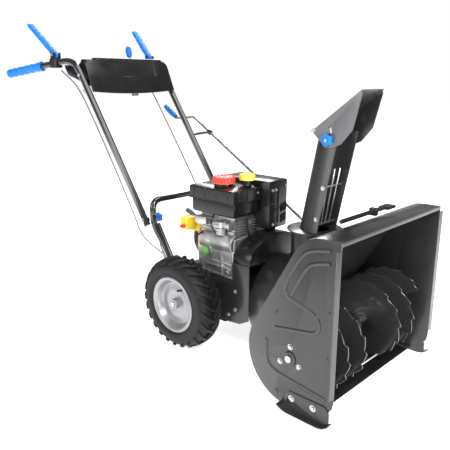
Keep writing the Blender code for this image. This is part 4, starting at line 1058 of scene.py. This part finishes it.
# %% [markdown]
# ## Crankcase
# The bright casting is the busiest part of the machine: a case, a rounded breather cover, a mounting
# foot, ribs, machined bosses and cooling fins.  Sculpting it would hide its logic, so each feature is
# a block or a turned boss of its own, set into the case as the foundry's pattern is built up.

# %% Crankcase casting
def boss(foot_radius, top_radius, height, place, direction):
    return turned([(0, 0), (foot_radius, 0), (top_radius, height), (0, height)], place, direction, 32)


case = block(at(-0.125, -0.150, 0.2523), at(0.085, 0.030, 0.395), 0.010, 3)
barrel = turned([(0, 0), (0.030, 0), (0.034, 0.003), (0.034, 0.145), (0.030, 0.148), (0, 0.148)],
                at(-0.106, -0.146, 0.372), (0, 1, 0), 48)
foot = block(at(-0.131, -0.156, 0.2523), at(0.090, 0.036, 0.262), 0.003, 2)
casting = [case, barrel, foot,
           block(at(-0.112, -0.140, 0.388), at(-0.0095, 0.020, 0.466), 0.006, 2),
           block(at(-0.1310, -0.150, 0.300), at(-0.121, -0.050, 0.306), 0.0022, 2),
           block(at(-0.1310, -0.150, 0.284), at(-0.121, -0.020, 0.290), 0.0022, 2),
           block(at(-0.1310, -0.098, 0.262), at(-0.121, -0.091, 0.345), 0.0022, 2),
           block(at(-0.1310, -0.152, 0.262), at(-0.115, -0.140, 0.350), 0.0035, 3),
           block(at(-0.105, -0.1555, 0.262), at(-0.098, -0.145, 0.340), 0.0022, 2),
           block(at(-0.070, -0.1555, 0.262), at(-0.063, -0.145, 0.340), 0.0022, 2),
           boss(0.0135, 0.0125, 0.010, at(-0.124, -0.126, 0.276), (-1, 0, 0)),
           boss(0.0180, 0.0165, 0.012, at(-0.122, -0.030, 0.336), (-1, 0, 0)),
           boss(0.0120, 0.0105, 0.012, at(-0.110, -0.147, 0.333), (0, -1, 0))]
for k in range(6):
    z = 0.404 + k * 0.0098
    casting.append(block(at(-0.1165, -0.146, z), at(-0.0050, 0.020, z + 0.0026), 0.0008, 1))
close_piece(joined(casting), "crankcase_casting", "frame", cast_metal, ("engine_block",), 35)
case_screws = [hex_bolt(at(-0.133, -0.126, 0.276), (-1, 0, 0), 0.0068, 0.0098),
               hex_bolt(at(-0.110, -0.158, 0.333), (0, -1, 0), 0.0060, 0.0085)]
for y, z in ((-0.140, 0.372), (-0.010, 0.372), (-0.060, 0.262), (0.020, 0.262)):
    case_screws.append(hex_bolt(at(-0.1395 if z > 0.3 else -0.1312, y, z), (-1, 0, 0), 0.0046, 0.0064))
close_piece(joined(case_screws), "crankcase_screws", "frame", zinc_plate)

# %% [markdown]
# ## Carburettor and hoses
# Under the tank sit the carburettor's bowl and horn, two thin governor rods, a breather hose and a
# fuel hose, and behind them the muffler.  Turned parts and rods along curves are the quickest true
# shapes for them.

# %% Carburettor, linkage and hoses
bowl = turned([(0, 0), (0.013, 0), (0.0165, 0.004), (0.0175, 0.018), (0.0190, 0.020),
               (0.0190, 0.024), (0, 0.024)], at(-0.128, -0.092, 0.402), (0, 0, 1), 40)
body = block(at(-0.146, -0.112, 0.4260), at(-0.114, -0.074, 0.4520), 0.006, 3)
horn = turned([(0, 0), (0.016, 0), (0.016, 0.004), (0.012, 0.006), (0.012, 0.024),
               (0.0155, 0.028), (0.0155, 0.032), (0, 0.032)], at(-0.130, -0.112, 0.440), (0, -1, 0), 36)
close_piece(joined([bowl, body, horn]), "carburettor", "frame", cast_metal, angle=35)
links = [bent_rod([at(-0.136, -0.070, 0.452), at(-0.134, -0.030, 0.458), at(-0.130, 0.020, 0.446)],
                  0.0016, 0.02),
         bent_rod([at(-0.146, -0.100, 0.436), at(-0.152, -0.060, 0.440), at(-0.148, -0.010, 0.420)],
                  0.0013, 0.02),
         hex_bolt(at(-0.1465, -0.092, 0.440), (-1, 0, 0), 0.0036, 0.0050),
         hex_bolt(at(-0.100, -0.1402, 0.452), (0, -1, 0), 0.0042, 0.0060),
         hex_bolt(at(-0.030, -0.1402, 0.440), (0, -1, 0), 0.0042, 0.0060),
         block(at(-0.1420, -0.034, 0.4280), at(-0.1180, 0.024, 0.4560), 0.003, 2)]
close_piece(joined(links), "throttle_links", "frame", zinc_plate)
hoses = [bent_rod([at(-0.126, -0.060, 0.470), at(-0.140, -0.052, 0.440), at(-0.142, -0.080, 0.405),
                   at(-0.130, -0.092, 0.400)], 0.0034, 0.018),
         bent_rod([at(-0.060, -0.150, 0.456), at(-0.078, -0.164, 0.430), at(-0.058, -0.160, 0.396),
                   at(-0.020, -0.152, 0.380)], 0.0042, 0.018),
         bent_rod([at(-0.132, -0.010, 0.400), at(-0.146, 0.010, 0.384), at(-0.138, 0.026, 0.352)],
                  0.0030, 0.018)]
close_piece(joined(hoses), "engine_hoses", "frame", black_plastic)
muffler = block(at(-0.004, -0.178, 0.4000), at(0.078, -0.052, 0.4700), 0.014, 4)
tail = turned([(0, 0), (0.014, 0), (0.014, 0.018), (0.011, 0.018), (0.011, 0.004), (0, 0.004)],
              at(0.030, -0.176, 0.420), (0, -1, -0.3), 32)
close_piece(joined([muffler, tail]), "muffler", "frame", dark_steel)

# %% [markdown]
# ## Recoil starter, switch and key
# The starter's cover has a ring of slots for air, a yellow plate carries the switch and the key, and
# the pull handle has finger rolls.  The rope lies inside the engine and comes out with the handle.

# %% Starter, switch and key
AIR_SLOTS = 18
slots = []
for k in range(AIR_SLOTS):
    turn = Matrix.Rotation(2 * pi * k / AIR_SLOTS, 4, "Y")
    slot_bar = block((0.060, 0.0, -0.0022), (0.086, 0.004, 0.0022), 0.0010, 1)
    slot_bar.data.transform(Matrix.Translation(at(0, 0.0870, 0.352)) @ turn)
    slots.append(slot_bar)
ring = turned([(0, 0.0675), (0.030, 0.0675), (0.033, 0.0660), (0.056, 0.0655), (0.056, 0.064), (0, 0.064)],
              at(0, 0.0305, 0.352), (0, 1, 0), 60)
close_piece(joined(slots + [ring]), "starter_grille", "frame", shiny_plastic)
softened("switch_plate", yellow_plastic, 0.0012)
softened("ignition_key", red_plastic, 0.0012)
brass = bare_metal("brass_ring", (0.80, 0.60, 0.22), (0.60, 0.42, 0.14), 0.3, 300, 0.06)
ring = turned([(0.0075, 0), (0.0120, 0), (0.0120, 0.004), (0.0075, 0.004)],
              at(-0.1255, 0.004, 0.352), (-1, 0, 0), 32, closed=True)
close_piece(ring, "brass_ring", "frame", brass)
grey_plastic = moulded("grey_plastic", (0.075, 0.077, 0.082), (0.10, 0.10, 0.11), 0.42, 700, 0.15)
port = at(-0.055, 0.118, 0.425)
rope_line = Vector((0, 0.940311, 0.340325))     # the way the rope is pulled
pull = turned([(0, -0.0100), (0.0066, -0.0100), (0.0076, 0.004), (0.0098, 0.012), (0.0090, 0.018),
               (0.0099, 0.023), (0.0090, 0.029), (0.0099, 0.035), (0.0075, 0.0412), (0, 0.0420)],
              port, rope_line, 32)
close_piece(pull, "starter_handle", "starter_grip", grey_plastic, ("starter_grip",), 50)
rope = bent_rod([port - rope_line * 0.385, port - rope_line * 0.009], 0.0018)
close_piece(rope, "starter_rope", "starter_grip", black_plastic, angle=60)


# %% [markdown]
# ## Grips, levers, knobs and bolts
# The grips are soft plastic with finger rolls, so their profile has a wave in it.  The knobs have
# five lobes, drawn as an outline, extruded and bevelled.

# %% Handlebar grips and the crank's grip
BEND = Vector((0.209, 0.622, 0.990))
BAR_END = Vector((0.314, 0.960, 0.936))
GRIP_LENGTH = 0.190


def make_grip(name, side):
    line = (BAR_END - BEND).normalized()
    line.x *= side
    profile = [(0.0129, 0.0), (0.0190, 0.0), (0.0196, 0.002), (0.0190, 0.006), (0.0160, 0.010)]
    for k in range(45):
        along = 0.014 + 0.160 * k / 44
        profile.append((0.0163 + 0.0013 * sin(2 * pi * k / 9), along))
    profile += [(0.0172, 0.178), (0.0160, 0.186), (0.0120, 0.1895), (0, GRIP_LENGTH)]
    start = at(side * BAR_END.x, BAR_END.y, BAR_END.z) - line * GRIP_LENGTH
    grip = turned(profile, start, line, 40)
    close_piece(grip, f"finger_grip_{name}", "handlebar", soft_blue, (f"grip_{name}",), 60)


for name, side in (("left", 1), ("right", -1)):
    make_grip(name, side)
crank_line = Vector((0.286549, 0.899079, 0.330977))
spindle = [(0.0053, 0.016), (0.0085, 0.016), (0.0095, 0.020)]
spindle += [(0.0098 + 0.0032 * sin(pi * k / 30) + 0.0005 * sin(2 * pi * k / 5), 0.022 + 0.116 * k / 30)
            for k in range(31)]
spindle += [(0.0075, 0.1440), (0, 0.1460)]
crank_grip = turned(spindle, at(0.25253, 0.54481, 0.74420), crank_line, 32)
close_piece(crank_grip, "crank_spindle", "crank_grip", soft_blue, ("crank_grip",), 60)


# %% [markdown]
# ## Control panel
# The panel is blow-moulded: its lower edge bows down, its far corner is round, and a shallow pocket
# holds small things.  The outline is drawn on the slope of the panel and extruded, the pocket is cut
# with a Boolean, and a bevel rounds everything the way hot plastic does.

# %% Front of the control panel
PANEL_HALF = 0.2055
PANEL_FOOT, PANEL_RISE = Vector((0, 0.513, 0.868)), Vector((0, 0.4045, 0.9145))
PANEL_OUT = Vector((0, -0.9145, 0.4045))


def on_panel(across, up, out=-0.0010):
    place = PANEL_FOOT + PANEL_RISE * up + PANEL_OUT * out
    return at(across, place.y, place.z)


outline = []
for k in range(17):
    across = PANEL_HALF * (k / 8 - 1)
    outline.append((across, -0.011 * (1 - (across / PANEL_HALF) ** 2)))
outline += [(PANEL_HALF, 0.106), (0.2000, 0.120), (0.1880, 0.128), (0.1700, 0.131), (-0.1480, 0.131),
            (-0.1620, 0.128), (-0.1740, 0.119), (-PANEL_HALF, 0.117)]
front = cut_out(outline, on_panel, PANEL_OUT * 0.0055)
pocket = cut_out([(-0.100, 0.140), (-0.062, 0.066), (-0.050, 0.060), (0.120, 0.060), (0.130, 0.070),
                  (0.130, 0.140)],
                 lambda u, v: on_panel(u, v, 0.0022), PANEL_OUT * 0.010)
cut = front.modifiers.new("pocket", "BOOLEAN")
cut.object = pocket
only(front)
bpy.ops.object.modifier_apply(modifier="pocket")
bpy.data.objects.remove(pocket)
bevelled(front, 0.0016, 3, 35)
hump = block(at(-0.146, 0.5640, 0.9840), at(0.184, 0.6020, 0.9960), 0.0055, 4)
close_piece(joined([front, hump]), "panel_front", "handlebar", shiny_plastic, angle=35)

# %% [markdown]
# ## Fold spacers and leg gussets
# Where the handlebar folds, a spacer fills the space between leg and upright, and a flat gusset
# stiffens the leg below it.  A turned sleeve and a cut plate make them.

# %% Spacers and gussets at the fold
FOLD_Y, FOLD_Z = 0.219, 0.414
for name, side in (("left", 1), ("right", -1)):
    spacer = turned([(0.0045, 0), (0.0110, 0), (0.0110, 0.0128), (0.0045, 0.0128)],
                    at(side * 0.1935, FOLD_Y, FOLD_Z), (side, 0, 0), 32, closed=True)
    gusset = cut_out([(0.190, 0.402), (0.214, 0.392), (0.184, 0.308), (0.142, 0.226), (0.062, 0.226),
                      (0.120, 0.292)],
                     lambda u, v: at(side * 0.1590, u, v), (side * 0.0100, 0, 0), 0.0030, 3)
    close_piece(joined([spacer, gusset]), f"leg_gusset_{name}", "frame", black_gloss, angle=40)


# %% [markdown]
# ## Star knobs
# Three blue knobs clamp the deflector and the fold.  Five lobes come from one cosine wave round a
# circle; the outline is extruded and bevelled, and a plated stud runs through the middle.

# %% Star knobs
def star_knob(name, node, place, side, reach_in):
    steps, radius = 80, 0.0185
    outline = []
    for k in range(steps):
        angle = 2 * pi * k / steps
        reach = radius * (0.86 + 0.14 * cos(5 * angle))
        outline.append((reach * cos(angle), reach * sin(angle)))
    lobes = cut_out(outline, lambda u, v: place + Vector((0, u, v)), (side * 0.0155, 0, 0), 0.0026, 3)
    close_piece(lobes, f"{name}_lobes", node, blue_plastic, (node,), 40)
    stud = turned([(0, 0), (0.0035, 0), (0.0035, reach_in), (0, reach_in)], place, (-side, 0, 0), 24)
    face = turned([(0, 0), (0.0052, 0), (0.0048, 0.0016), (0.0025, 0.0026), (0, 0.0028)],
                  place + Vector((side * 0.0154, 0, 0)), (side, 0, 0), 28)
    close_piece(joined([stud, face]), f"{name}_stud", node, zinc_plate)


star_knob("deflector_star", "deflector_knob", at(-0.0585, -0.458, 0.745), -1, 0.0031)
star_knob("fold_star_left", "fold_knob_left", at(0.150, FOLD_Y, FOLD_Z), -1, 0.017)
star_knob("fold_star_right", "fold_knob_right", at(-0.150, FOLD_Y, FOLD_Z), 1, 0.017)

# %% [markdown]
# ## Shift lever
# The speed lever is a steel rod on a cross tube, with a blue grip shaped like a drop.  The grip is
# turned from a profile and slid over the rod's end.

# %% Shift lever: a steel rod with a blue grip
foot, tip = at(0.091, 0.636, 0.852), at(0.091, 0.668, 1.018)
along = (tip - foot).normalized()
stick = bent_rod([foot, tip], 0.0045)
pivot = turned([(0, -0.012), (0.0085, -0.012), (0.0085, 0.012), (0, 0.012)], foot, (1, 0, 0), 28)
close_piece(joined([stick, pivot]), "shift_rod", "shift_lever", dark_steel, ("shift_lever",))
paddle = turned([(0, 0), (0.0090, 0), (0.0125, 0.012), (0.0130, 0.026), (0.0110, 0.038),
                 (0.006, 0.044), (0, 0.045)], tip - along * 0.012, along, 32)
close_piece(paddle, "shift_paddle", "shift_lever", blue_plastic, angle=60)

# %% [markdown]
# ## Bolts
# Every joint is bolted with plated hexagon heads on washers.  One function makes a bolt, and lists
# of places set it round the machine.  The bolts of one area are joined to one piece.

# %% Bolts on the bars, the chassis and the chute
bar_bolts = []
for side in (1, -1):
    for y, z in ((0.546, 0.870), (0.579, 0.930)):
        bar_bolts.append(hex_bolt(at(side * 0.2205, y, z), (side, 0, 0), 0.0052, 0.0072))
    bar_bolts.append(hex_bolt(at(side * 0.2185, FOLD_Y, FOLD_Z), (side, 0, 0), 0.0062, 0.0090))
    yaw = radians(11) * -side
    across = Matrix.Rotation(yaw, 3, "Z") @ Vector((side, 0, 0))
    bar_bolts.append(hex_bolt(at(side * 0.237, 0.712, 1.008) + across * 0.0192, across, 0.0050, 0.0066))
close_piece(joined(bar_bolts), "handlebar_bolts", "handlebar", zinc_plate)
chassis_places = ((-0.180, 0.225), (-0.180, 0.160), (-0.150, 0.135), (0.060, 0.130), (0.060, 0.225))
chassis_bolts = [hex_bolt(at(side * 0.150, y, z), (side, 0, 0), 0.0056, 0.0080)
                 for side in (-1, 1) for y, z in chassis_places]
chassis_bolts += [hex_bolt(at(x, 0.105, z), (0, 1, 0), 0.0050, 0.0070)
                  for x in (-0.120, 0.120) for z in (0.125, 0.235)]
close_piece(joined(chassis_bolts), "chassis_bolts", "frame", zinc_plate)
CHUTE_FOOT_Y, CHUTE_FOOT_Z, CHUTE_LEAN = -0.385 - 0.009 - 0.022, 0.454, 0.197
chute_bolts = []
for side in (1, -1):
    for height in (0.500, 0.600):
        y = CHUTE_FOOT_Y - CHUTE_LEAN * (height - CHUTE_FOOT_Z)     # the chute leans forward
        chute_bolts.append(hex_bolt(at(side * 0.055, y, height), (side, 0, 0), 0.0048, 0.0066))
close_piece(joined(chute_bolts), "chute_bolts", "chute", zinc_plate)
pin = [hex_bolt(at(side * 0.0580, -0.406, 0.7705), (side, 0, 0), 0.0046, 0.0064) for side in (1, -1)]
close_piece(joined(pin), "hinge_bolts", "deflector", zinc_plate)

# %% [markdown]
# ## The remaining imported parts
# The clean-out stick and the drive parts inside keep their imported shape.  They only get merged
# faces, a small edge radius and their finish.

# %% Clean-out tool and drive parts
softened("clean_out_tool", shiny_plastic, 0.0016)
for node, finish in (("friction_wheel", dark_steel), ("axle_gear", dark_steel),
                     ("engine_pulley", cast_metal), ("impeller_pulley", cast_metal),
                     ("impeller_fan", black_gloss), ("impeller_shaft", zinc_plate),
                     ("bottom_cover", grey_paint), ("chute_pinion", zinc_plate)):
    softened(node, finish, 0.0004)
